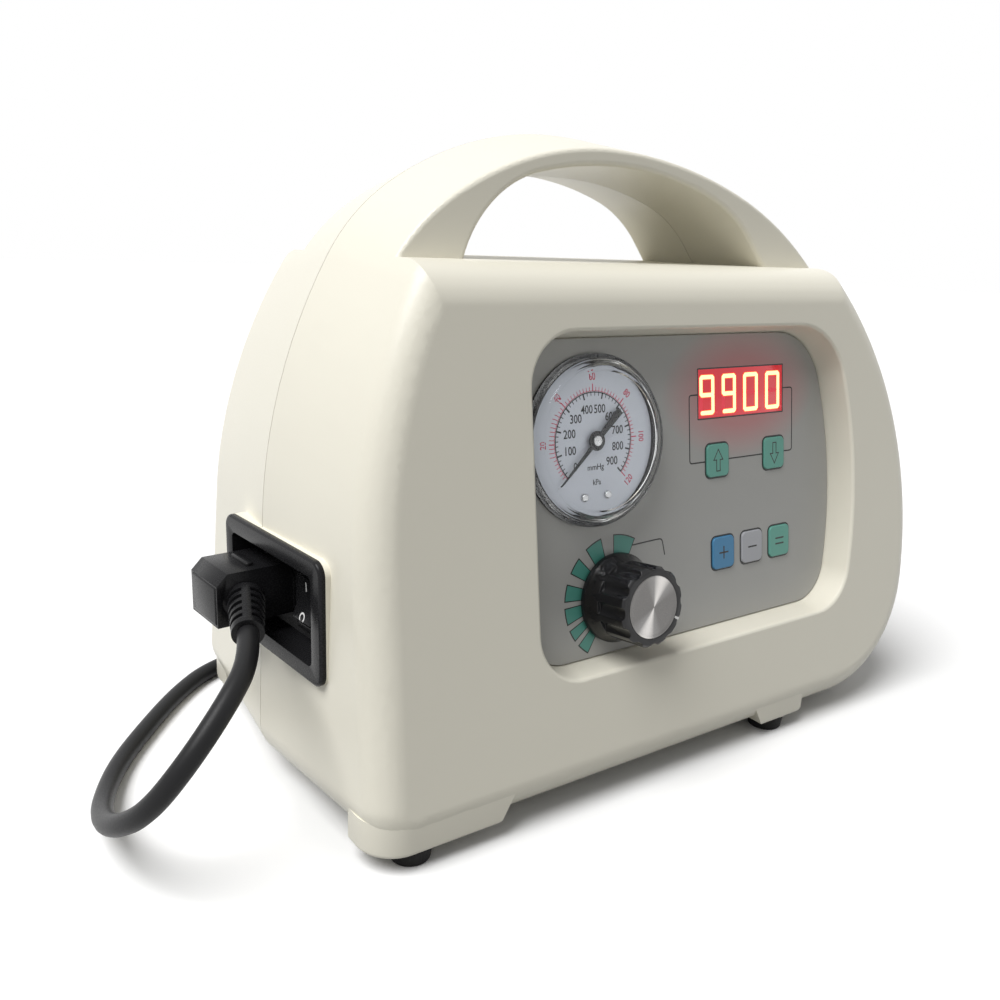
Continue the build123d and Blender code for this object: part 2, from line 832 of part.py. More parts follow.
with BuildPart() as board_spacers:
    with BuildSketch(panel_plane.offset(-stack)):
        with Locations((window_x, board_y)):
            with GridLocations(board_width - 2 * board_edge, board_height - 2 * board_edge, 2, 2):
                RegularPolygon(spacer_radius, 6)
    extrude(amount=stack - board_front)
board_spacers.part.label = "board_spacers"
export_step(board_spacers.part, "parts/board_spacers.step")

key_foot = stack + slide_fit + key_flange
for key_name, key_place in key_places.items():
    with BuildPart() as key:
        with BuildSketch(panel_plane.offset(key_rise)):
            with Locations(key_place):
                RectangleRounded(key_width, key_height, key_corner)
        extrude(amount=-key_rise - key_foot)
        fillet(key.faces().sort_by(panel_axis)[-1].edges(), key_rise / 2)
        with BuildSketch(panel_plane.offset(-key_foot)):
            with Locations(key_place):
                RectangleRounded(key_width + 2, key_height + 2, key_corner)
        extrude(amount=key_flange)
    key.part.label = key_name
    export_step(key.part, "parts/" + key_name + ".step")

with BuildPart() as key_switches:
    with BuildSketch(panel_plane.offset(-board_front)):
        with Locations(*key_places.values()):
            Rectangle(switch_width, switch_width)
    extrude(amount=switch_height)
    with BuildSketch(panel_plane.offset(-board_front + switch_height)):
        with Locations(*key_places.values()):
            Circle(switch_stem)
    extrude(amount=board_front - switch_height - key_foot - key_travel - turn_fit)
key_switches.part.label = "key_switches"
export_step(key_switches.part, "parts/key_switches.step")

# Knob with its fluted grip, spun cap and pointer mark
knob_plane = Plane(
    panel_plane.from_local_coords((knob_x, knob_y, 0)), x_dir=panel_plane.x_dir, z_dir=panel_plane.z_dir
)
knob_top = knob_lift + knob_height
knob_section = Plane(knob_plane.origin, x_dir=knob_plane.x_dir, z_dir=-knob_plane.y_dir)
bore_depth = nut_thickness + 1.2
with BuildPart() as knob:
    with BuildSketch(knob_section):
        with BuildLine():
            Polyline(
                (0, knob_top - cap_thickness), (cap_radius + turn_fit, knob_top - cap_thickness),
                (cap_radius + turn_fit, knob_top), (knob_rim_radius, knob_top), (knob_radius, knob_top - 0.8),
                (knob_radius, knob_lift + 7), (skirt_radius - 0.6, knob_lift + 2.4), (skirt_radius, knob_lift + 1.6),
                (skirt_radius, knob_lift), (nut_width / 2 + 2.5, knob_lift), (nut_width / 2 + 2.5, bore_depth),
                (spindle_radius, bore_depth), (spindle_radius, knob_top - spindle_hold), (0, knob_top - spindle_hold), close=True,
            )
        make_face()
    revolve(axis=Axis(knob_plane.origin, knob_plane.z_dir))
    with BuildSketch(knob_plane.offset(knob_lift + 7)):
        with PolarLocations(knob_radius + flute_radius - 1.3, knob_flutes):
            Circle(flute_radius)
    extrude(amount=knob_height, mode=Mode.SUBTRACT)
knob.part.label = "knob"
export_step(knob.part, "parts/knob.step")

with BuildPart() as knob_cap:
    with BuildSketch(knob_plane.offset(knob_top - cap_thickness)):
        Circle(cap_radius)
    extrude(amount=cap_thickness + 0.3)
    chamfer(knob_cap.faces().sort_by(panel_axis)[-1].edges(), 0.3)
knob_cap.part.label = "knob_cap"
export_step(knob_cap.part, "parts/knob_cap.step")

with BuildPart() as knob_spindle:
    with BuildSketch(knob_plane.offset(knob_top - spindle_hold)):
        Circle(spindle_radius - turn_fit)
    extrude(amount=spindle_hold - knob_top - spindle_depth)
knob_spindle.part.label = "knob_spindle"
export_step(knob_spindle.part, "parts/knob_spindle.step")

# Regulator behind the panel, its bush held by a nut under the knob
with BuildPart() as regulator_body:
    with BuildSketch(knob_plane.offset(-stack)):
        Circle(regulator_radius)
    extrude(amount=-regulator_depth)
    with BuildSketch(knob_plane.offset(-stack)):
        Circle(bush_radius)
    extrude(amount=stack + nut_thickness)
    with BuildSketch(knob_plane.offset(nut_thickness)):
        Circle(spindle_radius + turn_fit)
    extrude(amount=-nut_thickness - spindle_depth - wall, mode=Mode.SUBTRACT)
    with BuildSketch(knob_plane.offset(-stack - regulator_depth)):
        with GridLocations(regulator_ports, 0, 2, 1):
            Circle(nipple_radius)
    extrude(amount=-nipple_length)
regulator_body.part.label = "regulator_body"
export_step(regulator_body.part, "parts/regulator_body.step")

with BuildPart() as regulator_nut:
    with BuildSketch(knob_plane):
        RegularPolygon(nut_width / 2, 6, major_radius=False)
        Circle(bush_radius + turn_fit, mode=Mode.SUBTRACT)
    extrude(amount=nut_thickness)
regulator_nut.part.label = "regulator_nut"
export_step(regulator_nut.part, "parts/regulator_nut.step")

# Mains inlet: a flanged frame with a box behind it, straddling the parting line
box_depth = inlet_recess + inlet_wall
with BuildPart() as inlet_frame:
    with BuildSketch(inlet_plane):
        RectangleRounded(inlet_length, inlet_height, inlet_corner)
    extrude(amount=-inlet_flange)
    inlet_axis = Axis(inlet_plane.origin, inlet_plane.z_dir)
    fillet(inlet_frame.faces().sort_by(inlet_axis)[-1].edges(), inlet_flange / 2)
    with BuildSketch(inlet_plane.offset(-inlet_flange)):
        Rectangle(box_length, box_height)
    extrude(amount=inlet_flange - box_depth)
    with BuildSketch(inlet_plane):
        RectangleRounded(box_length - 2 * inlet_wall, box_height - 2 * inlet_wall, inlet_corner / 2)
    extrude(amount=-inlet_recess, mode=Mode.SUBTRACT)
    with BuildSketch(inlet_plane.offset(-inlet_recess)):
        with Locations((socket_x, 0)):
            Rectangle(socket_length, socket_height)
        with Locations((rocker_x, 0)):
            Rectangle(rocker_width + 2 * fit + 2 * rocker_bezel, rocker_height + 2 * fit + 2 * rocker_bezel)
    extrude(amount=-inlet_wall, mode=Mode.SUBTRACT)
inlet_frame.part.label = "inlet_frame"
export_step(inlet_frame.part, "parts/inlet_frame.step")


def plug_outline(plane, length, height, corner):
    """A plug's outline with its two upper corners cut off."""
    with BuildSketch(plane) as outline:
        with Locations((socket_x, 0)):
            Rectangle(length, height)
        chamfer(outline.vertices().group_by(Axis.Y)[-1], corner)
    return outline.sketch


# The socket keeps a wall between its floor and the blades' tails
socket_floor = inlet_recess + nose_reach + nose_fit
blade_places = [(socket_x - blade_spread, -1.0), (socket_x, 3.0), (socket_x + blade_spread, -1.0)]
with BuildPart() as mains_inlet:
    with BuildSketch(inlet_plane.offset(-inlet_recess)):
        with Locations((socket_x, 0)):
            Rectangle(socket_length, socket_height)
    extrude(amount=-socket_depth)
    extrude(
        plug_outline(
            inlet_plane.offset(-inlet_recess), nose_length + 2 * nose_fit, nose_height + 2 * nose_fit, socket_corner
        ),
        amount=-nose_reach - nose_fit,
        mode=Mode.SUBTRACT,
    )
    with BuildSketch(inlet_plane.offset(-socket_floor)):
        with Locations(*blade_places):
            Rectangle(blade_width, blade_thickness)
    extrude(amount=-socket_depth, mode=Mode.SUBTRACT)
mains_inlet.part.label = "mains_inlet"
export_step(mains_inlet.part, "parts/mains_inlet.step")

with BuildPart() as inlet_blades:
    with BuildSketch(inlet_plane.offset(-socket_floor + blade_reach)):
        with Locations(*blade_places):
            Rectangle(blade_width, blade_thickness)
    extrude(amount=-blade_reach - 10)
inlet_blades.part.label = "inlet_blades"
export_step(inlet_blades.part, "parts/inlet_blades.step")

# Rocker switch beside the socket
rocker_slot_width = rocker_width + 2 * fit
rocker_slot_height = rocker_height + 2 * fit
with BuildPart() as rocker_housing:
    with BuildSketch(inlet_plane.offset(-inlet_recess + rocker_rise)):
        with Locations((rocker_x, 0)):
            Rectangle(rocker_slot_width + 2 * rocker_bezel, rocker_slot_height + 2 * rocker_bezel)
    extrude(amount=-rocker_depth - rocker_rise)
    with BuildSketch(inlet_plane.offset(-inlet_recess + rocker_rise)):
        with Locations((rocker_x, 0)):
            Rectangle(rocker_slot_width, rocker_slot_height)
    extrude(amount=-rocker_depth, mode=Mode.SUBTRACT)
rocker_housing.part.label = "rocker_housing"
export_step(rocker_housing.part, "parts/rocker_housing.step")

# The rocker turns about a level pin; it rests with its upper end pressed in
pivot_drop = inlet_recess + 1.5
pivot_point = inlet_plane.from_local_coords((rocker_x, 0, -pivot_drop))
rocker_plane = Plane(pivot_point, x_dir=-inlet_plane.z_dir, z_dir=inlet_plane.x_dir)
rocker_axis = Axis(pivot_point, inlet_plane.x_dir)
rocker_reach = rocker_height / 2
with BuildPart() as power_rocker:
    with BuildSketch(rocker_plane.offset(-rocker_width / 2)):
        Circle(rocker_reach)
        with BuildLine():
            Polyline(
                (2.0, -rocker_height), (-6.0, -rocker_height), (-6.2, -rocker_reach), (-4.4, 0),
                (-6.2, rocker_reach), (-6.0, rocker_height), (2.0, rocker_height), close=True,
            )
        make_face(mode=Mode.INTERSECT)
    extrude(amount=rocker_width)
power_rocker.part = power_rocker.part.rotate(rocker_axis, -rocker_tilt)
power_rocker.part.label = "power_rocker"
export_step(power_rocker.part, "parts/power_rocker.step")

# Right-angle connector in the socket, its relief aimed along the cord's first run
cord_points = [Vector(middle_x + x, split_y + y, z) for x, y, z in cord_route]
relief_dir = (cord_points[0] - cord_points[1]).normalized()
relief_plane = Plane(cord_points[0], z_dir=relief_dir)
body_start = inlet_recess - fit
rib_step = relief_length / (2 * relief_ribs + 2)
with BuildPart() as cord_connector:
    extrude(
        plug_outline(inlet_plane.offset(-body_start), nose_length, nose_height, socket_corner),
        amount=body_start - inlet_recess - nose_reach,
    )
    with BuildSketch(inlet_plane.offset(-body_start)):
        with Locations((socket_x, 0)):
            Rectangle(connector_length, connector_height)
    extrude(amount=body_start + connector_reach)
    top_face = cord_connector.faces().sort_by(inlet_axis)[-1]
    chamfer(top_face.edges().sort_by(Axis.Z)[-1], connector_bevel)
    with BuildSketch(relief_plane):
        Circle(relief_tip_radius)
    with BuildSketch(relief_plane.offset(relief_length)):
        Circle(relief_radius)
    loft()
    with BuildSketch(inlet_plane.offset(-inlet_recess - nose_reach)):
        with Locations(*blade_places):
            Rectangle(blade_width + 2 * fit, blade_thickness + 2 * fit)
    extrude(amount=blade_reach + fit, mode=Mode.SUBTRACT)
    for rib in range(relief_ribs):
        with BuildSketch(relief_plane.offset((2 * rib + 1.5) * rib_step)):
            Circle(relief_radius + 1)
            Circle(relief_tip_radius - 0.8, mode=Mode.SUBTRACT)
            with Locations((0, 0)):
                Rectangle(3, 4 * relief_radius, mode=Mode.SUBTRACT)
        extrude(amount=rib_step, mode=Mode.SUBTRACT)
cord_connector.part.label = "cord_connector"
export_step(cord_connector.part, "parts/cord_connector.step")

def corner_radii(points):
    """The largest even radius at each corner of a route."""
    radii = []
    for before, here, after in zip(points, points[1:], points[2:]):
        half_turn = math.radians((here - before).get_angle(after - here)) / 2
        run = min((here - before).length, (after - here).length)
        radii.append(0.45 * run / math.tan(half_turn))
    return radii


# Cord from the relief down to the table and round behind the machine
bends = corner_radii(cord_points)
print("cord radii", [round(bend, 1) for bend in bends])
with BuildPart() as power_cord:
    with BuildLine() as cord_path:
        FilletPolyline(*cord_points, radius=bends)
    with BuildSketch(Plane(cord_points[0], z_dir=cord_path.line % 0)):
        Circle(cord_radius)
    sweep()
cord_length = cord_path.wire().length
print("cord length", round(cord_length, 1), "volume ratio", round(
    power_cord.part.volume / (math.pi * cord_radius**2 * cord_length), 4
))
power_cord.part.label = "power_cord"
export_step(power_cord.part, "parts/power_cord.step")

# Coil behind the machine: in on the table, up one layer, and out again
coil_pitch = 2 * cord_radius + coil_gap
coil_start = cord_points[-1] + Vector(2 * cord_radius, 0, 0)
turn_points = [coil_start]
side = 1
radius = coil_radius
for half_turn in range(2 * coil_turns):
    turn_points.append(turn_points[-1] + Vector(0, side * 2 * radius, 0))
    side = -side
    radius -= coil_pitch / 2
turn_points.append(turn_points[-1] + Vector(0, side * 2 * radius, coil_pitch))
for half_turn in range(2 * coil_turns - 1):
    side = -side
    radius += coil_pitch / 2
    turn_points.append(turn_points[-1] + Vector(0, side * 2 * radius, 0))
with BuildPart() as power_cord_coil:
    with BuildLine() as coil_path:
        Line(cord_points[-1], coil_start)
        heading = Vector(1, 0, 0)
        for near_point, far_point in zip(turn_points, turn_points[1:]):
            across = far_point - near_point
            middle = near_point + across / 2 + heading * (across.length / 2)
            TangentArc(near_point, middle, tangent=heading)
            TangentArc(middle, far_point, tangent=across)
            heading = -heading
        out_point = turn_points[-1]
        side_point = out_point + Vector(coil_radius, coil_radius, 0)
        TangentArc(out_point, side_point, tangent=heading)
        tail_point = side_point + Vector(coil_tail_radius, coil_tail_radius, 0)
        TangentArc(side_point, tail_point, tangent=(0, 1, 0))
        plug_point = tail_point + Vector(2 * cord_radius, 0, 0)
        Line(tail_point, plug_point)
    with BuildSketch(Plane(cord_points[-1], z_dir=(1, 0, 0))):
        Circle(cord_radius)
    sweep()
coil_wire = coil_path.wire()
coil_length = coil_wire.length
print("coil length", round(coil_length, 1), "volume ratio", round(
    power_cord_coil.part.volume / (math.pi * cord_radius**2 * coil_length), 4
))
samples = [coil_wire @ (step / 1500) for step in range(1501)]
apart = int(1500 * 3 * coil_pitch / coil_length)
least = min(
    (samples[one] - samples[two]).length
    for one in range(0, 1501, 3)
    for two in range(one + 3 * apart, 1501, 2)
)
print("least gap in the coil", round(least - 2 * cord_radius, 2))
power_cord_coil.part.label = "power_cord_coil"
export_step(power_cord_coil.part, "parts/power_cord_coil.step")

# Plug at the cord's end, with three flat pins
plug_plane = Plane(plug_point, x_dir=(0, 1, 0), z_dir=(1, 0, 0))
with BuildPart() as mains_plug:
    with BuildSketch(plug_plane):
        Circle(relief_tip_radius)
    with BuildSketch(plug_plane.offset(plug_length / 3)):
        Circle(relief_radius)
    loft()
    with BuildSketch(plug_plane.offset(plug_length / 3)):
        Rectangle(plug_width / 2, plug_height / 2)
    with BuildSketch(plug_plane.offset(2 * plug_length / 3)):
        RectangleRounded(plug_width, plug_height, 4)
    loft()
    with BuildSketch(plug_plane.offset(2 * plug_length / 3)):
        RectangleRounded(plug_width, plug_height, 4)
    extrude(amount=plug_length / 3)
mains_plug.part.label = "mains_plug"
export_step(mains_plug.part, "parts/mains_plug.step")

with BuildPart() as plug_pins:
    with BuildSketch(plug_plane.offset(plug_length)):
        with Locations((-plug_pin_spread, 3)):
            Rectangle(plug_pin_thickness, plug_pin, rotation=-30)
        with Locations((plug_pin_spread, 3)):
            Rectangle(plug_pin_thickness, plug_pin, rotation=30)
        with Locations((0, -5)):
            Rectangle(plug_pin_thickness, plug_pin)
    extrude(amount=plug_pin_reach)
plug_pins.part.label = "plug_pins"
export_step(plug_pins.part, "parts/plug_pins.step")

# Plate inside on the shells' floor, carrying pump, power supply and main board
floor_top = foot_height + pad_drop + wall
chassis_top = floor_top + chassis_thickness
with BuildPart() as chassis_plate:
    with BuildSketch(Plane.XY.offset(floor_top)):
        with Locations((middle_x, split_y)):
            RectangleRounded(chassis_length, chassis_width, 4)
    extrude(amount=chassis_thickness)
chassis_plate.part.label = "chassis_plate"
export_step(chassis_plate.part, "parts/chassis_plate.step")

pump_center = (middle_x + pump_x, split_y + pump_y)
with BuildPart() as pump_mounts:
    with BuildSketch(Plane.XY.offset(chassis_top)):
        with Locations(pump_center):
            with GridLocations(pump_head_length, pump_head_width - 2 * pump_mount_radius, 2, 2):
                Circle(pump_mount_radius)
    extrude(amount=pump_mount_height)
pump_mounts.part.label = "pump_mounts"
export_step(pump_mounts.part, "parts/pump_mounts.step")

pump_floor = chassis_top + pump_mount_height
pump_axis_height = pump_floor + pump_head_height / 2
with BuildPart() as air_pump:
    with BuildSketch(Plane.XY.offset(pump_floor)):
        with Locations(pump_center):
            RectangleRounded(pump_head_length + 2 * pump_mount_radius, pump_head_width, 3)
    extrude(amount=pump_head_height)
    with BuildSketch(Plane.YZ.offset(pump_center[0] - pump_head_length / 2 - pump_mount_radius)):
        with Locations((pump_center[1], pump_axis_height)):
            Circle(pump_motor_radius)
    extrude(amount=-pump_motor_length)
    with BuildSketch(Plane.XY.offset(pump_floor + pump_head_height)):
        with Locations(pump_center):
            with GridLocations(0, pump_ports, 1, 2):
                Circle(nipple_radius)
    extrude(amount=nipple_length)
air_pump.part.label = "air_pump"
export_step(air_pump.part, "parts/air_pump.step")


def board_at(center, length, width):
    """A circuit board on four spacers above the chassis plate."""
    with BuildPart() as board:
        with BuildSketch(Plane.XY.offset(chassis_top + spacer_height)):
            with Locations(center):
                Rectangle(length, width)
        extrude(amount=supply_thickness)
    with BuildPart() as spacers:
        with BuildSketch(Plane.XY.offset(chassis_top)):
            with Locations(center):
                with GridLocations(length - 2 * board_edge, width - 2 * board_edge, 2, 2):
                    RegularPolygon(spacer_radius, 6)
        extrude(amount=spacer_height)
    return board.part, spacers.part


supply_center = (middle_x + supply_x, split_y)
board_top = chassis_top + spacer_height + supply_thickness
with BuildPart() as supply_board:
    add(board_at(supply_center, supply_length, supply_width)[0])
supply_board.part.label = "supply_board"
export_step(supply_board.part, "parts/supply_board.step")

with BuildPart() as supply_spacers:
    add(board_at(supply_center, supply_length, supply_width)[1])
supply_spacers.part.label = "supply_spacers"
export_step(supply_spacers.part, "parts/supply_spacers.step")

with BuildPart() as transformer:
    with BuildSketch(Plane.XY.offset(board_top)):
        with Locations(supply_center):
            Rectangle(transformer_length, transformer_width)
    extrude(amount=transformer_height)
    chamfer(transformer.edges().filter_by(Axis.Z), 2)
transformer.part.label = "transformer"
export_step(transformer.part, "parts/transformer.step")

with BuildPart() as capacitors:
    with BuildSketch(Plane.XY.offset(board_top)):
        with Locations(supply_center):
            with GridLocations(transformer_length + 3 * capacitor_radius, capacitor_spread, 2, 2):
                Circle(capacitor_radius)
    extrude(amount=capacitor_height)
capacitors.part.label = "capacitors"
export_step(capacitors.part, "parts/capacitors.step")

# Bulkhead coupling of the cuff hose in the rear wall, with its nut inside
outlet_origin = Vector(middle_x + outlet_x, rear_y - (outlet_z - foot_height) * math.tan(lean), outlet_z)
outlet_plane = Plane(outlet_origin, x_dir=(-1, 0, 0), z_dir=rear_plane.z_dir)
with BuildPart() as air_outlet:
    with BuildSketch(outlet_plane):
        RegularPolygon(outlet_collar, 6)
    extrude(amount=outlet_collar_height)
    with BuildSketch(outlet_plane):
        Circle(outlet_thread)
    extrude(amount=-2 * wall - outlet_collar_height)
    with BuildSketch(outlet_plane.offset(outlet_collar_height)):
        Circle(outlet_spout)
    extrude(amount=outlet_spout_length - outlet_collar_height)
    with BuildSketch(outlet_plane.offset(outlet_spout_length)):
        Circle(outlet_bore)
    extrude(amount=-outlet_bore_length, mode=Mode.SUBTRACT)
    with BuildSketch(outlet_plane.offset(-2 * wall - outlet_collar_height)):
        Circle(nipple_radius)
    extrude(amount=-nipple_length)
air_outlet.part.label = "air_outlet"
export_step(air_outlet.part, "parts/air_outlet.step")

with BuildPart() as outlet_nut:
    with BuildSketch(outlet_plane.offset(-wall)):
        RegularPolygon(outlet_collar - 1, 6)
        Circle(outlet_thread + turn_fit, mode=Mode.SUBTRACT)
    extrude(amount=-outlet_collar_height)
outlet_nut.part.label = "outlet_nut"
export_step(outlet_nut.part, "parts/outlet_nut.step")

# Main board in front of the pump
main_center = (middle_x + main_board_x, split_y + main_board_y)
with BuildPart() as main_board:
    add(board_at(main_center, main_board_length, main_board_width)[0])
main_board.part.label = "main_board"
export_step(main_board.part, "parts/main_board.step")

with BuildPart() as main_spacers:
    add(board_at(main_center, main_board_length, main_board_width)[1])
main_spacers.part.label = "main_spacers"
export_step(main_spacers.part, "parts/main_spacers.step")

# Valve block behind the pump, with a valve each for filling, slow and fast release
block_center = (middle_x + valve_block_x, split_y + valve_block_y)
block_top = chassis_top + valve_block_height
port_places = [(middle_x + x, block_center[1]) for x in (supply_port_x, gauge_port_x, cuff_port_x)]
with BuildPart() as valve_block:
    with BuildSketch(Plane.XY.offset(chassis_top)):
        with Locations(block_center):
            Rectangle(valve_block_length, valve_block_width)
    extrude(amount=valve_block_height)
    chamfer(valve_block.edges().filter_by(Axis.Z), 1)
    with BuildSketch(Plane.XY.offset(block_top)):
        with Locations(*port_places):
            Circle(nipple_radius)
    extrude(amount=nipple_length)
valve_block.part.label = "valve_block"
export_step(valve_block.part, "parts/valve_block.step")

with BuildPart() as solenoid_valves:
    with BuildSketch(Plane.XY.offset(block_top)):
        with Locations((middle_x + valve_x, block_center[1])):
            with GridLocations(valve_pitch, 0, valve_count, 1):
                Circle(valve_radius)
    extrude(amount=valve_height)
    with BuildSketch(Plane.XY.offset(block_top + valve_height)):
        with Locations((middle_x + valve_x, block_center[1])):
            with GridLocations(valve_pitch, 0, valve_count, 1):
                Circle(valve_radius / 2)
    extrude(amount=board_edge)
solenoid_valves.part.label = "solenoid_valves"
export_step(solenoid_valves.part, "parts/solenoid_valves.step")

with BuildPart() as pressure_sensor:
    with BuildSketch(Plane.YZ.offset(block_center[0] - valve_block_length / 2)):
        with Locations((block_center[1], chassis_top + valve_block_height / 2)):
            Rectangle(sensor_size, sensor_size)
    extrude(amount=-sensor_depth)
pressure_sensor.part.label = "pressure_sensor"
export_step(pressure_sensor.part, "parts/pressure_sensor.step")


def air_hose(start, lead, way, end_lead, end):
    """A hose from nipple to nipple, by way of points measured from the parting line's datum."""
    points = [start, lead, *(Vector(middle_x + x, split_y + y, z) for x, y, z in way), end_lead, end]
    bends = corner_radii(points)
    print("hose radii", [round(bend, 1) for bend in bends])
    with BuildPart() as hose:
        with BuildLine() as route:
            FilletPolyline(*points, radius=bends)
        with BuildSketch(Plane(start, z_dir=route.line % 0)):
            Circle(tube_radius)
            Circle(tube_bore, mode=Mode.SUBTRACT)
        sweep()
    return hose.part


# Hoses: pump to regulator, regulator to valve block, block to gauge, block to outlet
regulator_back = -stack - regulator_depth
port_side = regulator_ports / 2
pump_port = Vector(pump_center[0], pump_center[1] - pump_ports / 2, pump_floor + pump_head_height)
gauge_back = -case_depth - nipple_length
outlet_back = -2 * wall - outlet_collar_height
supply_port, gauge_port, cuff_port = [Vector(x, y, block_top) for x, y in port_places]
port_lead = 2 * nipple_length
up = Vector(0, 0, 1)
with BuildPart() as air_hoses:
    add(air_hose(
        pump_port, pump_port + up * tube_lead,
        [(44, 8, 106), (20, 14, 110), (-4, 22, 98), (-20, 24, 78)],
        knob_plane.from_local_coords((port_side, 0, regulator_back - tube_lead)),
        knob_plane.from_local_coords((port_side, 0, regulator_back)),
    ))
    add(air_hose(
        knob_plane.from_local_coords((-port_side, 0, regulator_back)),
        knob_plane.from_local_coords((-port_side, 0, regulator_back - tube_lead)),
        [(-28, 32, 60), (-12, 42, 58)],
        supply_port + up * port_lead, supply_port,
    ))
    add(air_hose(
        panel_plane.from_local_coords((0, 0, gauge_back)),
        panel_plane.from_local_coords((0, 0, gauge_back - tube_lead)),
        [(-34, 34, 104), (-14, 44, 82), (8, 48, 62)],
        gauge_port + up * port_lead, gauge_port,
    ))
    add(air_hose(
        cuff_port, cuff_port + up * port_lead,
        [],
        outlet_plane.from_local_coords((0, 0, outlet_back - port_lead)),
        outlet_plane.from_local_coords((0, 0, outlet_back)),
    ))
air_hoses.part.label = "air_hoses"
export_step(air_hoses.part, "parts/air_hoses.step")
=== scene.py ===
import json
import math

import bmesh
import bpy
from mathutils import Matrix, Vector

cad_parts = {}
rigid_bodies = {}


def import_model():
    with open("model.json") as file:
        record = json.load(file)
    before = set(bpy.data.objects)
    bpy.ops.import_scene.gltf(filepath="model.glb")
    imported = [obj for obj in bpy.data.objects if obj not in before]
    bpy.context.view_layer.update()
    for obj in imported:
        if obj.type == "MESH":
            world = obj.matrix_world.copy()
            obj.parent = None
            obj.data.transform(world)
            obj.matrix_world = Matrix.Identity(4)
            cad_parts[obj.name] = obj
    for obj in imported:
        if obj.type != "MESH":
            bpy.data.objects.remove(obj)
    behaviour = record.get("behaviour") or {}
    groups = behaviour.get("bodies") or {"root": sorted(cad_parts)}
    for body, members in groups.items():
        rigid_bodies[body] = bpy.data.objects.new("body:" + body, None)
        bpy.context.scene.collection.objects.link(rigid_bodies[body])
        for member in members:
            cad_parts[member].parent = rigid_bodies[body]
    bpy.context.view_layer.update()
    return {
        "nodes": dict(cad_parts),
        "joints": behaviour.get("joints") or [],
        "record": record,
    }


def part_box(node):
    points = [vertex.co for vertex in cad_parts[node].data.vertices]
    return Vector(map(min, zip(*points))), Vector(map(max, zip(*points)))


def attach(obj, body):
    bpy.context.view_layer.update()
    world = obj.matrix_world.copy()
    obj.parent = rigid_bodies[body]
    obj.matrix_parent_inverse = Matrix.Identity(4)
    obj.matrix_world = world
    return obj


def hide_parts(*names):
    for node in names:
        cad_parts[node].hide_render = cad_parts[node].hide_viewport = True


# Pneumatic tourniquet machine. The scene is in metres; the helpers take millimetres
# on a plane of the machine, mostly the front panel with its origin on the gauge's axis.

# Start from an empty scene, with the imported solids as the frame
for start_object in list(bpy.data.objects):
    bpy.data.objects.remove(start_object)
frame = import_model()
nodes = frame["nodes"]
joints = {joint["name"]: joint for joint in frame["joints"]}
MM = 0.001


def plane_at(origin, right, out):
    """A frame with x to the right, y up and z out of a plane, in millimetres from its origin."""
    up = out.cross(right)
    return Matrix.Translation(origin) @ Matrix((
        (right.x, up.x, out.x), (right.y, up.y, out.y), (right.z, up.z, out.z),
    )).to_4x4() @ Matrix.Scale(MM, 4)


# The front panel, and the point on the table from which the cord's route is measured
GAUGE_FROM_MIDDLE = 42
panel_origin = Vector(joints["needle_turn"]["pos_m"])
panel = plane_at(panel_origin, Vector((1, 0, 0)), Vector(joints["needle_turn"]["axis"]))
HALF_PARTING_GAP = 0.15
datum = Vector((
    panel_origin.x + GAUGE_FROM_MIDDLE * MM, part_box("front_shell")[1].y + HALF_PARTING_GAP * MM, 0,
))

# Camera at the photograph's viewpoint, its place in millimetres from the gauge
CAMERA_FROM_GAUGE = Vector((-220.4, -256.3, 67.6))
camera_data = bpy.data.cameras.new("camera")
camera = bpy.data.objects.new("camera", camera_data)
bpy.context.scene.collection.objects.link(camera)
bpy.context.scene.camera = camera
camera_data.lens = 33.98
camera_data.sensor_width = 36
look_right = Vector((0.82332339, -0.56632692, 0.0375821))
look_down = Vector((-0.11863593, -0.23646899, -0.96436919))
look_ahead = Vector((0.55503524, 0.78952912, -0.26187717))
camera.matrix_world = Matrix.Translation(panel_origin + CAMERA_FROM_GAUGE * MM) @ Matrix((
    (look_right.x, -look_down.x, -look_ahead.x),
    (look_right.y, -look_down.y, -look_ahead.y),
    (look_right.z, -look_down.z, -look_ahead.z),
)).to_4x4()

# Finishes


def link_noise(tree, size, detail=2.0):
    """A noise on the object's own coordinates, its features about a size in millimetres."""
    place = tree.nodes.new("ShaderNodeTexCoord")
    noise = tree.nodes.new("ShaderNodeTexNoise")
    noise.inputs["Scale"].default_value = 1000 / size
    noise.inputs["Detail"].default_value = detail
    tree.links.new(place.outputs["Object"], noise.inputs["Vector"])
    return noise.outputs["Fac"]


def link_range(tree, value, low, high):
    """A value from 0.3 to 0.7 spread between two others."""
    spread = tree.nodes.new("ShaderNodeMapRange")
    spread.inputs["From Min"].default_value = 0.3
    spread.inputs["From Max"].default_value = 0.7
    spread.inputs["To Min"].default_value = low
    spread.inputs["To Max"].default_value = high
    tree.links.new(value, spread.inputs["Value"])
    return spread.outputs["Result"]


def link_blend(tree, factor, first, second):
    """A colour between two others, each a colour or an output."""
    blend = tree.nodes.new("ShaderNodeMix")
    blend.data_type = "RGBA"
    tree.links.new(factor, blend.inputs[0])
    for socket, colour in ((blend.inputs[6], first), (blend.inputs[7], second)):
        if isinstance(colour, tuple):
            socket.default_value = (*colour, 1)
        else:
            tree.links.new(colour, socket)
    return blend.outputs[2]


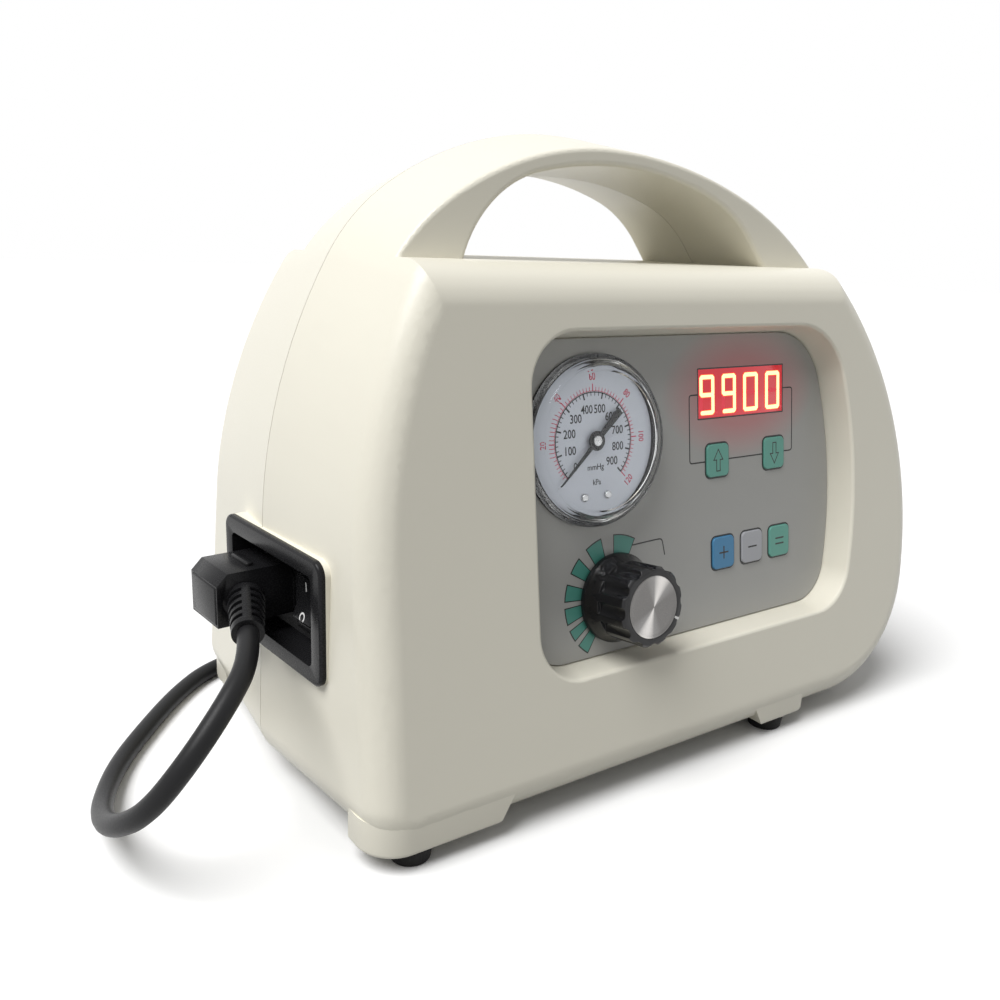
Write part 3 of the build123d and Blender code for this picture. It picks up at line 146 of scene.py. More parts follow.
def surface(name, colour, gloss, metal=0.0, grain=0.5, relief=0.1, vary=0.06, coat=0.0, cloud=18.0):
    """A finish with faint clouding, uneven gloss and a fine grain; gloss is its roughness."""
    material = bpy.data.materials.new(name)
    material.use_nodes = True
    tree = material.node_tree
    shader = tree.nodes["Principled BSDF"]
    shader.inputs["Metallic"].default_value = metal
    shader.inputs["Coat Weight"].default_value = coat
    clouds = link_noise(tree, cloud, 4.0)
    darker = tuple(channel * (1 - vary) for channel in colour)
    lighter = tuple(min(1, channel * (1 + vary)) for channel in colour)
    tree.links.new(link_blend(tree, clouds, darker, lighter), shader.inputs["Base Color"])
    grains = link_noise(tree, grain)
    tree.links.new(link_range(tree, grains, gloss * 0.85, min(1, gloss * 1.15)), shader.inputs["Roughness"])
    bump = tree.nodes.new("ShaderNodeBump")
    bump.inputs["Strength"].default_value = relief
    bump.inputs["Distance"].default_value = 0.1 * MM
    tree.links.new(grains, bump.inputs["Height"])
    tree.links.new(bump.outputs["Normal"], shader.inputs["Normal"])
    return material


finishes = {
    "housing": surface("ivory_abs", (0.83, 0.80, 0.69), 0.36, grain=0.9, relief=0.06, vary=0.02, cloud=60),
    "rubber": surface("black_rubber", (0.018, 0.018, 0.018), 0.75, grain=0.35, relief=0.5),
    "steel": surface("plated_steel", (0.56, 0.56, 0.57), 0.26, metal=1, grain=0.3, relief=0.2),
    "panel_metal": surface("sheet_metal", (0.66, 0.66, 0.68), 0.38, metal=1, grain=0.25, relief=0.3),
    "panel_film": surface("grey_film", (0.40, 0.40, 0.385), 0.42, grain=0.22, relief=0.2, vary=0.03),
    "gauge_black": surface("black_enamel", (0.012, 0.012, 0.014), 0.28, grain=0.4, relief=0.08, coat=0.3),
    "gauge_clear": surface("clear_moulding", (0.97, 0.98, 0.98), 0.03, grain=3, relief=0.02, vary=0.01),
    "dial_white": surface("dial_enamel", (0.44, 0.46, 0.51), 0.4, grain=0.3, relief=0.05, vary=0.03),
    "brass": surface("brass", (0.72, 0.52, 0.22), 0.3, metal=1, grain=0.3, relief=0.2),
    "display_red": surface("display_filter", (0.42, 0.006, 0.012), 0.16, grain=2, relief=0.02, coat=0.3),
    "display_dark": surface("dark_moulding", (0.02, 0.016, 0.016), 0.5, grain=0.4),
    "board_green": surface(
        "circuit_board", (0.015, 0.13, 0.05), 0.35, grain=0.8, relief=0.4, vary=0.3, cloud=4,
    ),
    "key_teal": surface("teal_key", (0.13, 0.38, 0.31), 0.45, grain=0.3, vary=0.04),
    "key_blue": surface("blue_key", (0.065, 0.24, 0.44), 0.45, grain=0.3, vary=0.04),
    "key_white": surface("pale_key", (0.44, 0.45, 0.48), 0.45, grain=0.3, vary=0.04),
    "black_plastic": surface(
        "black_moulding", (0.011, 0.011, 0.012), 0.27, grain=0.6, relief=0.08, vary=0.2,
    ),
    "cord_black": surface("cord_jacket", (0.013, 0.013, 0.014), 0.42, grain=0.5, relief=0.2, vary=0.2),
    "regulator_metal": surface("die_casting", (0.5, 0.5, 0.52), 0.5, metal=1, grain=0.7, relief=0.6),
    "transformer_yellow": surface("winding_tape", (0.62, 0.44, 0.09), 0.4, grain=1.5, relief=0.5),
    "tube_clear": surface("silicone_hose", (0.7, 0.7, 0.67), 0.35, grain=1.0),
}
finishes["black_print"] = surface("black_print", (0.012, 0.012, 0.012), 0.4, grain=0.2)
finishes["red_print"] = surface("red_print", (0.42, 0.02, 0.06), 0.4, grain=0.2)
finishes["teal_print"] = surface("teal_print", (0.075, 0.28, 0.23), 0.4, grain=0.25, vary=0.04)
finishes["white_print"] = surface("white_print", (0.85, 0.85, 0.84), 0.4, grain=0.2)
finishes["knob_gloss"] = surface(
    "knob_gloss", (0.006, 0.006, 0.007), 0.15, grain=1.2, relief=0.05, vary=0.2,
)


def shader_of(finish):
    """The inputs of a finish's shader."""
    return finishes[finish].node_tree.nodes["Principled BSDF"].inputs


# The gauge's cover is a thin clear moulding, with a low index, so that it bends little of the dial
shader_of("gauge_clear")["Transmission Weight"].default_value = 1
shader_of("gauge_clear")["IOR"].default_value = 1.22
for finish, shine in (
    ("black_plastic", 0.16), ("cord_black", 0.2), ("rubber", 0.2), ("gauge_black", 0.3),
    ("knob_gloss", 0.4),
):
    shader_of(finish)["Specular IOR Level"].default_value = shine

# The display's window, and its figures in three steps from lit to unlit
LAMPS = (
    ("lit_segment", (1.0, 0.62, 0.28), 1.9),
    ("segment_edge", (1.0, 0.10, 0.04), 1.0),
    ("unlit_segment", (0.55, 0.03, 0.05), 0.75),
)
for lamp_name, colour, _ in LAMPS:
    finishes[lamp_name] = surface(lamp_name, colour, 0.4, grain=0.4)
for lamp_name, colour, strength in (*LAMPS, ("display_red", (0.75, 0.012, 0.03), 0.55)):
    shader_of(lamp_name)["Emission Color"].default_value = (*colour, 1)
    shader_of(lamp_name)["Emission Strength"].default_value = strength

# Painted glow: the lit display's red light on the film round its window is painted into the film's colour,
# less and less with the distance
WINDOW = (79.1, 13.6)
GLOW_REACH = (36, 30, 22)
GLOW_FROM = 0.6
GLOW_TO = 1.25
GLOW_SHARE = 0.6
PAINTED_GLOW_RED = (0.62, 0.16, 0.17)
film = finishes["panel_film"].node_tree
film_colour = shader_of("panel_film")["Base Color"]
film_place = film.nodes.new("ShaderNodeTexCoord")
round_window = film.nodes.new("ShaderNodeMapping")
window_middle = panel @ Vector((*WINDOW, 0))
round_window.inputs["Scale"].default_value = [1 / (reach * MM) for reach in GLOW_REACH]
round_window.inputs["Location"].default_value = [
    -place / (reach * MM) for place, reach in zip(window_middle, GLOW_REACH)
]
away = film.nodes.new("ShaderNodeVectorMath")
away.operation = "LENGTH"
fade = film.nodes.new("ShaderNodeMapRange")
fade.inputs["From Min"].default_value = GLOW_FROM
fade.inputs["From Max"].default_value = GLOW_TO
fade.inputs["To Min"].default_value = GLOW_SHARE
fade.inputs["To Max"].default_value = 0.0
film.links.new(film_place.outputs["Object"], round_window.inputs["Vector"])
film.links.new(round_window.outputs["Vector"], away.inputs[0])
film.links.new(away.outputs["Value"], fade.inputs["Value"])
# The film's grey is blended towards the painted red glow near the window
plain_grey = film_colour.links[0].from_socket
film.links.new(link_blend(film, fade.outputs["Result"], plain_grey, PAINTED_GLOW_RED), film_colour)

# Every node takes its slot's finish; most are then replaced by a dressed copy
slot_of = {part["node"]: part["material_slot"] for part in frame["record"]["subparts"]}
for node_name, node in nodes.items():
    node.data.materials.clear()
    node.data.materials.append(finishes[slot_of[node_name]])

# Making pieces


def shade(bm, sharp):
    """Smooth shading, with edges kept sharp past an angle in degrees."""
    for face in bm.faces:
        face.smooth = True
    for edge in bm.edges:
        edge.smooth = edge.calc_face_angle(0) < math.radians(sharp)


def finish_piece(name, bm, finish, body="machine", stands_for=(), even=False):
    """Turn a bmesh, in metres and in place, into a piece of a body."""
    mesh = bpy.data.meshes.new(name)
    bm.to_mesh(mesh)
    bm.free()
    mesh.materials.append(finishes[finish])
    piece = bpy.data.objects.new(name, mesh)
    bpy.context.scene.collection.objects.link(piece)
    if even:
        piece.modifiers.new("even_shading", "WEIGHTED_NORMAL").keep_sharp = True
    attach(piece, body)
    if stands_for:
        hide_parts(*stands_for)
    return piece


body_of_node = {
    name: body for body, names in frame["record"]["behaviour"]["bodies"].items() for name in names
}


BEVELLED_PAST = math.radians(38)
SAME_POINT = 0.002 * MM
SAME_FACE = math.radians(0.6)


def dressed(node_name, bevel=0.0, sharp=32, segments=2, finish=None, even=False):
    """A merged copy of a CAD node with its edges broken by a bevel in millimetres."""
    bm = bmesh.new()
    bm.from_mesh(nodes[node_name].data)
    bmesh.ops.remove_doubles(bm, verts=bm.verts, dist=SAME_POINT)
    bmesh.ops.dissolve_limit(bm, angle_limit=SAME_FACE, verts=bm.verts, edges=bm.edges)
    if bevel:
        corners = [edge for edge in bm.edges if edge.calc_face_angle(0) > BEVELLED_PAST]
        bmesh.ops.bevel(
            bm, geom=corners, offset=bevel * MM, offset_type="OFFSET", affect="EDGES",
            segments=segments, profile=0.5, material=-1, clamp_overlap=True,
        )
    shade(bm, sharp)
    slot = slot_of[node_name]
    return finish_piece(
        node_name + "_dressed", bm, finish or slot, body_of_node[node_name], [node_name], even
    )


def added(bm, before):
    """The vertices that a bmesh has gained."""
    return [vert for vert in bm.verts if vert not in before]


def put(bm, before, middle, turn=0.0):
    """Turn what was added about the origin, then move it to its place."""
    matrix = Matrix.Translation(Vector(middle)) @ Matrix.Rotation(math.radians(turn), 4, "Z")
    bmesh.ops.transform(bm, matrix=matrix, verts=added(bm, before))


def add_plate(bm, middle, width, height, corner=0.0, turn=0.0, rim=0.0):
    """A flat plate with round corners; with a rim, only the rim of it."""
    before = set(bm.verts)
    old_faces = set(bm.faces)
    bmesh.ops.create_grid(bm, x_segments=1, y_segments=1, size=0.5)
    bmesh.ops.scale(bm, vec=(width, height, 1), verts=added(bm, before))
    if corner:
        bmesh.ops.bevel(
            bm, geom=added(bm, before), offset=corner, offset_type="OFFSET", affect="VERTICES",
            segments=5, profile=0.5, material=-1,
        )
    if rim:
        face = [face for face in bm.faces if face not in old_faces]
        bmesh.ops.inset_region(bm, faces=face, thickness=rim, use_even_offset=True, use_boundary=True)
        bmesh.ops.delete(bm, geom=face, context="FACES")
    put(bm, before, middle, turn)


ARC_STEP = 4


def add_sector(bm, middle, inner, outer, start, stop):
    """A flat piece of a ring between two angles in degrees."""
    before = set(bm.verts)
    ends = [bm.verts.new((reach, 0, 0)) for reach in (inner, outer)]
    edge = bm.edges.new(ends)
    bmesh.ops.spin(
        bm, geom=[*ends, edge], cent=(0, 0, 0), axis=(0, 0, 1), dvec=(0, 0, 0),
        angle=math.radians(stop - start), steps=max(2, round(abs(stop - start) / ARC_STEP)),
        use_duplicate=False,
    )
    put(bm, before, middle, start)


CAPITAL_SHARE = 0.69


def add_words(bm, words, middle, height, turn=0.0, narrow=1.0):
    """Flat lettering, its capitals or digits of a height in millimetres."""
    before = set(bm.verts)
    lettering = bpy.data.curves.new("lettering", "FONT")
    lettering.body = words
    lettering.align_x = "CENTER"
    lettering.align_y = "CENTER"
    lettering.resolution_u = 3
    lettering.offset = 0.014
    holder = bpy.data.objects.new("lettering", lettering)
    flat = bpy.data.meshes.new_from_object(holder)
    bm.from_mesh(flat)
    size = height / CAPITAL_SHARE
    bmesh.ops.scale(bm, vec=(size * narrow, size, 1), verts=added(bm, before))
    put(bm, before, middle, turn)
    bpy.data.objects.remove(holder)
    bpy.data.curves.remove(lettering)
    bpy.data.meshes.remove(flat)


def add_stroke(bm, points, width, lift):
    """A drawn line along points, its corners rounded between them."""
    before = set(bm.verts)
    stroke = bpy.data.curves.new("stroke", "CURVE")
    stroke.dimensions = "3D"
    stroke.bevel_depth = width / 2
    stroke.bevel_resolution = 1
    line = stroke.splines.new("NURBS")
    line.points.add(len(points) - 1)
    for point, place in zip(line.points, points):
        point.co = (*place, 0, 1)
    line.order_u = 3
    line.use_endpoint_u = True
    line.resolution_u = 6
    holder = bpy.data.objects.new("stroke", stroke)
    flat = bpy.data.meshes.new_from_object(holder)
    bm.from_mesh(flat)
    bmesh.ops.scale(bm, vec=(1, 1, 0.1), verts=added(bm, before))
    put(bm, before, (0, 0, lift))
    bpy.data.objects.remove(holder)
    bpy.data.curves.remove(stroke)
    bpy.data.meshes.remove(flat)


def printed(name, bm, finish, body="machine", place=panel, thick=0.03):
    """Flat marks given a thin body and set on their plane."""
    bmesh.ops.triangulate(bm, faces=[face for face in bm.faces if len(face.verts) > 4])
    bmesh.ops.remove_doubles(bm, verts=bm.verts, dist=0.0005)
    if thick:
        bmesh.ops.recalc_face_normals(bm, faces=bm.faces)
        for face in bm.faces:
            if face.normal.z < 0:
                face.normal_flip()
        bmesh.ops.solidify(bm, geom=bm.faces[:], thickness=thick)
    bmesh.ops.transform(bm, matrix=place, verts=bm.verts)
    bmesh.ops.recalc_face_normals(bm, faces=bm.faces)
    return finish_piece(name, bm, finish, body)


def turned(bm, profile, place, steps=96):
    """A profile of radius and height spun right round the z axis of a plane."""
    before = set(bm.verts)
    verts = [bm.verts.new((reach, 0, height)) for reach, height in profile]
    edges = [bm.edges.new(pair) for pair in zip(verts, verts[1:])]
    bmesh.ops.spin(
        bm, geom=[*verts, *edges], cent=(0, 0, 0), axis=(0, 0, 1), dvec=(0, 0, 0),
        angle=math.tau, steps=steps, use_merge=True, use_duplicate=False,
    )
    made = added(bm, before)
    bmesh.ops.remove_doubles(bm, verts=made, dist=0.001)
    bmesh.ops.transform(bm, matrix=place, verts=added(bm, before))
    bmesh.ops.recalc_face_normals(bm, faces=bm.faces)


# Mains cord: the route of the part's own cord, then the coil behind the machine
CORD_RADIUS = 3.6
cord_route = [
    (-164, -28, 72), (-168.5, -41.5, 68.8), (-180, -53, 62), (-194, -58.5, 49), (-205, -52.5, 32.5),
    (-211, -36, 20.5), (-210.5, -14, 11), (-205.5, 8, 5.2), (-195, 31, CORD_RADIUS),
    (-179, 53, CORD_RADIUS), (-160.5, 76, CORD_RADIUS), (-140.5, 94, CORD_RADIUS),
    (-114, 101, CORD_RADIUS), (-88, 103, CORD_RADIUS), (-62.2, 103, CORD_RADIUS),
]
COIL_RADIUS = 50
COIL_TURNS = 3
COIL_STEP = 3.9
COIL_RISE = 7.8
TAIL_RADIUS = 26
TAIL_LENGTH = 7.2
POINT_STEP = 30
CORNER_REACH = 1.035


def coil_points(middle, radius, start, sweep, lift=0.0):
    """Control points round a middle, at even steps from a start by a sweep in degrees."""
    points = []
    for turn in range(0, abs(sweep), POINT_STEP):
        angle = math.radians(start + math.copysign(turn, sweep))
        rise = lift * (1 - math.cos(math.radians(turn))) / 2
        reach = radius * CORNER_REACH
        points.append(middle + Vector((reach * math.cos(angle), reach * math.sin(angle), rise)))
    return points


# The turns wind inwards on the table, step up at the middle and wind outwards on top
cord_points = [Vector(point) for point in cord_route]
near = Vector((-55, 103, CORD_RADIUS))
for half_turn in range(4 * COIL_TURNS):
    side = 1 if half_turn % 2 == 0 else -1
    lift = COIL_RISE if half_turn == 2 * COIL_TURNS else 0
    radius = COIL_RADIUS - COIL_STEP * min(half_turn, 4 * COIL_TURNS - half_turn)
    cord_points += coil_points(near + Vector((0, side * radius, 0)), radius, -90 * side, 180, lift)
    near += Vector((0, 2 * side * radius, lift))
cord_points += coil_points(near + Vector((0, COIL_RADIUS, 0)), COIL_RADIUS, -90, 90)
bend = near + Vector((COIL_RADIUS + TAIL_RADIUS, COIL_RADIUS, 0))
cord_points += coil_points(bend, TAIL_RADIUS, 180, -90)
cord_points += [bend + Vector((0, TAIL_RADIUS, 0)), bend + Vector((TAIL_LENGTH, TAIL_RADIUS, 0))]

cord_curve = bpy.data.curves.new("mains_cord", "CURVE")
cord_curve.dimensions = "3D"
cord_curve.bevel_depth = CORD_RADIUS * MM
cord_curve.bevel_resolution = 6
cord_curve.resolution_u = 8
cord_curve.use_fill_caps = True
cord_line = cord_curve.splines.new("NURBS")
cord_line.points.add(len(cord_points) - 1)
for point, place in zip(cord_line.points, cord_points):
    point.co = (*(datum + place * MM), 1)
cord_line.order_u = 3
cord_line.use_endpoint_u = True
cord_curve.materials.append(finishes["cord_black"])
mains_cord = bpy.data.objects.new("mains_cord", cord_curve)
bpy.context.scene.collection.objects.link(mains_cord)
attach(mains_cord, "machine")
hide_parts("power_cord", "power_cord_coil")

# Moulded and turned pieces whose form is the part's own, with their edges broken
for shell in ("front_shell", "rear_shell"):
    dressed(shell, sharp=18, even=True)
for foot in ("front_left", "front_right", "rear_left", "rear_right"):
    dressed("foot_" + foot, bevel=0.5)
for key in ("key_up", "key_down", "key_inflate", "key_slow_release", "key_fast_release"):
    dressed(key, bevel=0.08)
for node_name, bevel in (
    ("display_window", 0.1), ("gauge_case", 0.15), ("gauge_dial", 0.05), ("gauge_needle", 0.08),
    ("inlet_frame", 0.35), ("mains_inlet", 0.25), ("rocker_housing", 0.25), ("inlet_blades", 0.2),
    ("air_outlet", 0.25), ("outlet_nut", 0.2), ("regulator_nut", 0.2), ("foot_screws", 0.2),
    ("shell_screws", 0.2), ("regulator_body", 0.4), ("valve_block", 0.2), ("solenoid_valves", 0.4),
    ("air_pump", 0.6), ("transformer", 0.4), ("capacitors", 0.5),
):
    dressed(node_name, bevel=bevel)
for sheet in ("panel_plate", "panel_overlay"):
    dressed(sheet, sharp=15)
dressed("dial_screws", sharp=50)
dressed("air_hoses")
dressed("knob", bevel=0.35, segments=3, sharp=40, finish="knob_gloss")
rocker = dressed("power_rocker", bevel=0.4)
plug_pins = dressed("plug_pins", bevel=0.25)
connector = dressed("cord_connector", bevel=0.7, segments=3)
plug = dressed("mains_plug", bevel=0.8, segments=3)

# The rocker's and the connector's planes on the leaning left wall
WALL_LEAN = math.radians(4.5)
CONNECTOR_FROM_ROCKER = (-12, 0, 12.5)
wall_out = Vector((-math.cos(WALL_LEAN), -math.sin(WALL_LEAN), 0))
rocker_hinge = joints["rocker_tilt"]
rocker_place = plane_at(Vector(rocker_hinge["pos_m"]), Vector(rocker_hinge["axis"]), wall_out)
connector_place = rocker_place @ Matrix.Translation(CONNECTOR_FROM_ROCKER)


def bevel_edges(bm, edges, offset, segments):
    """Round some edges by an offset."""
    bmesh.ops.bevel(
        bm, geom=edges, offset=offset, offset_type="OFFSET", affect="EDGES",
        segments=segments, profile=0.5, material=-1,
    )


def add_block(bm, low, high, bevel=0.0):
    """A block between two corners, its edges rounded."""
    before = set(bm.verts)
    bmesh.ops.create_cube(bm, size=1)
    made = added(bm, before)
    bmesh.ops.scale(bm, vec=[b - a for a, b in zip(low, high)], verts=made)
    bmesh.ops.translate(bm, vec=[(a + b) / 2 for a, b in zip(low, high)], verts=made)
    if bevel:
        bevel_edges(bm, list({edge for vert in made for edge in vert.link_edges}), bevel, 3)


# The connector's grip ridge on top, and the plate at its outer end
ridge = bmesh.new()
add_block(ridge, (-20.5, 8.4, 2.0), (-7.5, 10.8, 4.8), 0.7)
add_block(ridge, (-24.8, -8.8, 15.9), (-4.2, 5.2, 17.9), 0.8)
bmesh.ops.transform(ridge, matrix=connector_place, verts=ridge.verts)
shade(ridge, 40)
ridge_piece = finish_piece("connector_ridge", ridge, "black_plastic")

# Moulded pads over the four feet
PAD_BOTTOM = 6.2
PAD_TOP = 18.7
PAD_SLOPE = 7
PAD_ROUND = 2


def corner_pad(name, outer, inner, round_corner):
    """A pad flush with the housing's walls at its outer corner, its inner end sloped."""
    bm = bmesh.new()
    low, high = ([pick(pair) for pair in zip(outer, inner)] for pick in (min, max))
    add_block(bm, (*low, PAD_BOTTOM), (*high, PAD_TOP))

    def at(vert, way, place):
        return abs(vert.co[way] - place) < 0.01

    slope = math.copysign(PAD_SLOPE, outer[0] - inner[0])
    sloped = [vert for vert in bm.verts if at(vert, 0, inner[0]) and at(vert, 2, PAD_BOTTOM)]
    bmesh.ops.translate(bm, vec=(slope, 0, 0), verts=sloped)
    corner = [
        edge for edge in bm.edges
        if all(at(vert, 0, outer[0]) and at(vert, 1, outer[1]) for vert in edge.verts)
    ]
    bevel_edges(bm, corner, round_corner, 10)
    bottom = [edge for edge in bm.edges if all(at(vert, 2, PAD_BOTTOM) for vert in edge.verts)]
    bevel_edges(bm, bottom, PAD_ROUND, 5)
    bmesh.ops.scale(bm, vec=(MM, MM, MM), verts=bm.verts)
    shade(bm, 35)
    finish_piece("corner_pad_" + name, bm, "housing")


corner_pad("front_left", (-141, -86.3), (-86, -67), 14)
corner_pad("front_right", (70, -85.95), (34, -67), 6)
corner_pad("rear_left", (-139, 82.4), (-90, 57), 15)
corner_pad("rear_right", (70, 82.4), (34, 57), 6)

# Knob: a spun cap with its grooves round its own axis, and the white pointer mark
KNOB = (8, -59.5)
KNOB_TOP = 21.6
CAP_RADIUS = 11.45
# Where round the cap the painted highlight fans lie
PAINTED_FAN_TURN = -2.3
knob_place = panel @ Matrix.Translation((*KNOB, KNOB_TOP))
cap = bmesh.new()
turned(cap, [
    (0, 0.22), (3, 0.2), (6, 0.17), (9, 0.16), (10.6, 0.18), (10.9, 0.3), (11.2, 0.26),
    (CAP_RADIUS, 0.05), (CAP_RADIUS, -0.85), (0, -0.85),
], knob_place, 128)

# The cap's own map: once round it, and from its middle to its edge
around = cap.loops.layers.uv.new("around")
to_knob = knob_place.inverted()
for face in cap.faces:
    middle = to_knob @ face.calc_center_median()
    face_turn = math.atan2(middle.y, middle.x)
    for loop in face.loops:
        place = to_knob @ loop.vert.co
        reach = math.hypot(place.x, place.y)
        turn = math.atan2(place.y, place.x) if reach > 0.01 else face_turn
        turn += math.tau * round((face_turn - turn) / math.tau)
        loop[around].uv = (turn / math.tau, reach / CAP_RADIUS)
shade(cap, 30)

# Spun aluminium: turning grooves and gloss along them, and two pale fans of painted highlight, with painted
# shade between, across its colour
GROOVES = 90
PAINTED_HIGHLIGHT_FANS = 2
PAINTED_FAN_SHADE = (0.17, 0.165, 0.16, 1)
PAINTED_FAN_MIDDLE = (0.25, 0.245, 0.24, 1)
PAINTED_FAN_HIGHLIGHT = (0.62, 0.60, 0.58, 1)
spun = surface("spun_aluminium", (0.70, 0.69, 0.68), 0.27, metal=1, grain=0.25, relief=0.05)
tree = spun.node_tree
shader = tree.nodes["Principled BSDF"]
shader.inputs["Anisotropic"].default_value = 0.85
tangent = tree.nodes.new("ShaderNodeTangent")
tangent.direction_type = "UV_MAP"
tangent.uv_map = "around"
tree.links.new(tangent.outputs["Tangent"], shader.inputs["Tangent"])
cap_map = tree.nodes.new("ShaderNodeUVMap")
cap_map.uv_map = "around"
groove_map = tree.nodes.new("ShaderNodeMapping")
groove_map.inputs["Scale"].default_value = (0, GROOVES, 0)
grooves = tree.nodes.new("ShaderNodeTexNoise")
grooves.inputs["Scale"].default_value = 1
tree.links.new(cap_map.outputs["UV"], groove_map.inputs["Vector"])
tree.links.new(groove_map.outputs["Vector"], grooves.inputs["Vector"])
tree.links.new(grooves.outputs["Fac"], tree.nodes["Bump"].inputs["Height"])
# Painted highlight and shade: the base colour goes pale and dark twice round the cap
painted_fan_map = tree.nodes.new("ShaderNodeSeparateXYZ")
tree.links.new(cap_map.outputs["UV"], painted_fan_map.inputs["Vector"])
painted_fan = painted_fan_map.outputs["X"]
for kind, amount in (("MULTIPLY", PAINTED_HIGHLIGHT_FANS * math.tau), ("ADD", PAINTED_FAN_TURN), ("COSINE", 0)):
    step = tree.nodes.new("ShaderNodeMath")
    step.operation = kind
    step.inputs[1].default_value = amount
    tree.links.new(painted_fan, step.inputs[0])
    painted_fan = step.outputs["Value"]
painted_fan_ramp = tree.nodes.new("ShaderNodeValToRGB")
painted_fan_ramp.color_ramp.elements[0].color = PAINTED_FAN_SHADE
painted_fan_ramp.color_ramp.elements[1].color = PAINTED_FAN_HIGHLIGHT
painted_fan_ramp.color_ramp.elements.new(0.72).color = PAINTED_FAN_MIDDLE
tree.links.new(painted_fan, painted_fan_ramp.inputs["Fac"])
tree.links.new(painted_fan_ramp.outputs["Color"], shader.inputs["Base Color"])
finishes["spun_aluminium"] = spun
finish_piece("knob_cap_spun", cap, "spun_aluminium", "knob", ["knob_cap"])

# The pointer mark runs over the knob's top edge and down its flank
POINTER_TURN = -28
POINTER_WIDTH = 0.9
POINTER_CORNER = 0.2
pointer_place = knob_place @ Matrix.Rotation(math.radians(POINTER_TURN), 4, "Z")
pointer = bmesh.new()
add_plate(pointer, (12.85, 0, 0.02), 2.2, POINTER_WIDTH, corner=POINTER_CORNER)
printed("knob_pointer", pointer, "white_print", "knob", pointer_place, thick=0.12)
flank = bmesh.new()
add_plate(flank, (0, 0, 0), 3.4, POINTER_WIDTH, corner=POINTER_CORNER)
flank_place = (
    pointer_place @ Matrix.Translation((14.86, 0, -2.6)) @ Matrix.Rotation(math.radians(90), 4, "Y")
)
printed("knob_flank_mark", flank, "white_print", "knob", flank_place, thick=0.1)

# Printed scale of the knob: seven teal fields with black outlines
FIELD_TURNS = ((222, 235), (204, 215), (182, 197), (160, 175), (134, 149), (104, 122.5), (62, 88))
FIELD_INNER = 15.2
FIELD_OUTER = 23.2
FIELD_OUTLINE = 0.5
fields = bmesh.new()
outlines = bmesh.new()
for start, stop in FIELD_TURNS:
    outline_outer = FIELD_OUTER + FIELD_OUTLINE
    add_sector(outlines, (*KNOB, 0.02), FIELD_INNER, outline_outer, start - 0.8, stop + 0.8)
    add_sector(fields, (*KNOB, 0.05), FIELD_INNER, FIELD_OUTER, start + 0.3, stop - 0.3)
printed("knob_scale_outlines", outlines, "black_print")
printed("knob_scale_fields", fields, "teal_print")

# Drawn lines: the knob's leader, and the frame that ties the display to its two keys
LINE = 0.55
LINE_LIFT = 0.03
lines = bmesh.new()
for points in (
    [(17.8, -41.3), (24, -41.1), (30.6, -40.9), (33.4, -41.0), (34.0, -44), (34.7, -47.6)],
    [
        (54, 13.4), (51.5, 13.4), (49.1, 13.4), (49.1, 10.8), (49.1, 0), (49.1, -10.8), (49.1, -13.4),
        (51.8, -13.4), (57.8, -13.4),
    ],
    [(70.8, -13.3), (80, -13.3), (91.9, -13.3)],
    [
        (104.6, 13.6), (107.6, 13.6), (110.4, 13.6), (110.4, 10.8), (110.4, 0), (110.4, -10.4),
        (110.4, -13.2), (107.6, -13.2), (104.7, -13.2),
    ],
):
    add_stroke(lines, points, LINE, LINE_LIFT)
printed("panel_lines", lines, "black_print", thick=0)

KEY_MIDDLES = {
    "key_up": (64.4, -13.3), "key_down": (98.4, -13.3),
    "key_inflate": (67.3, -51.5), "key_slow": (84.6, -51.5), "key_fast": (101.8, -51.5),
}
KEY_RIM_SIZE = (13.9, 14.7)
RIM = 0.55
key_rims = bmesh.new()
for middle in KEY_MIDDLES.values():
    add_plate(key_rims, (*middle, 0.04), *KEY_RIM_SIZE, corner=2.8, rim=RIM)
printed("key_rims", key_rims, "black_print")

# Marks on the keys: outlined arrows, and plain signs for filling and for slow and fast release
KEY_TOP = 0.8
ARROW_LINE = 0.42
BAR_LENGTH = 5.4
BAR_WIDTH = 0.7
ARROW = [(0, 4.2), (2.6, 0), (1.0, 0), (1.0, -4.5), (-1.0, -4.5), (-1.0, 0), (-2.6, 0)]


def add_outline(bm, points, middle, width, turn=0.0):
    """A closed outline of a width, drawn as its sides."""
    spin = Matrix.Rotation(math.radians(turn), 3, "Z")
    spots = [spin @ Vector((*point, 0)) + Vector(middle) for point in points]
    for one, two in zip(spots, spots[1:] + spots[:1]):
        side = two - one
        heading = math.degrees(math.atan2(side.y, side.x))
        add_plate(bm, (one + two) / 2, side.length + width, width, turn=heading)


def key_point(name, x, y):
    """A point on a key's face, measured from its middle."""
    middle = KEY_MIDDLES[name]
    return (middle[0] + x, middle[1] + y, KEY_TOP + 0.02)


for name, turn, rise in (("key_up", 0, 0.2), ("key_down", 180, -0.2)):
    sign = bmesh.new()
    add_outline(sign, ARROW, key_point(name, 0, rise), ARROW_LINE, turn)
    printed(name + "_arrow", sign, "black_print", name)
LEVEL_BAR = (BAR_LENGTH, BAR_WIDTH)
UPRIGHT_BAR = (BAR_WIDTH, BAR_LENGTH)
for name, body, slot, bars in (
    ("key_inflate", "key_inflate", "key_blue", ((0, LEVEL_BAR), (0, UPRIGHT_BAR))),
    ("key_slow", "key_slow_release", "key_white", ((0, LEVEL_BAR),)),
    ("key_fast", "key_fast_release", "key_teal", ((-1.2, LEVEL_BAR), (1.2, LEVEL_BAR))),
):
    sign = bmesh.new()
    for rise, size in bars:
        add_plate(sign, key_point(name, 0, rise), *size, corner=0.3)
    printed(name + "_sign", sign, "black_print", body)

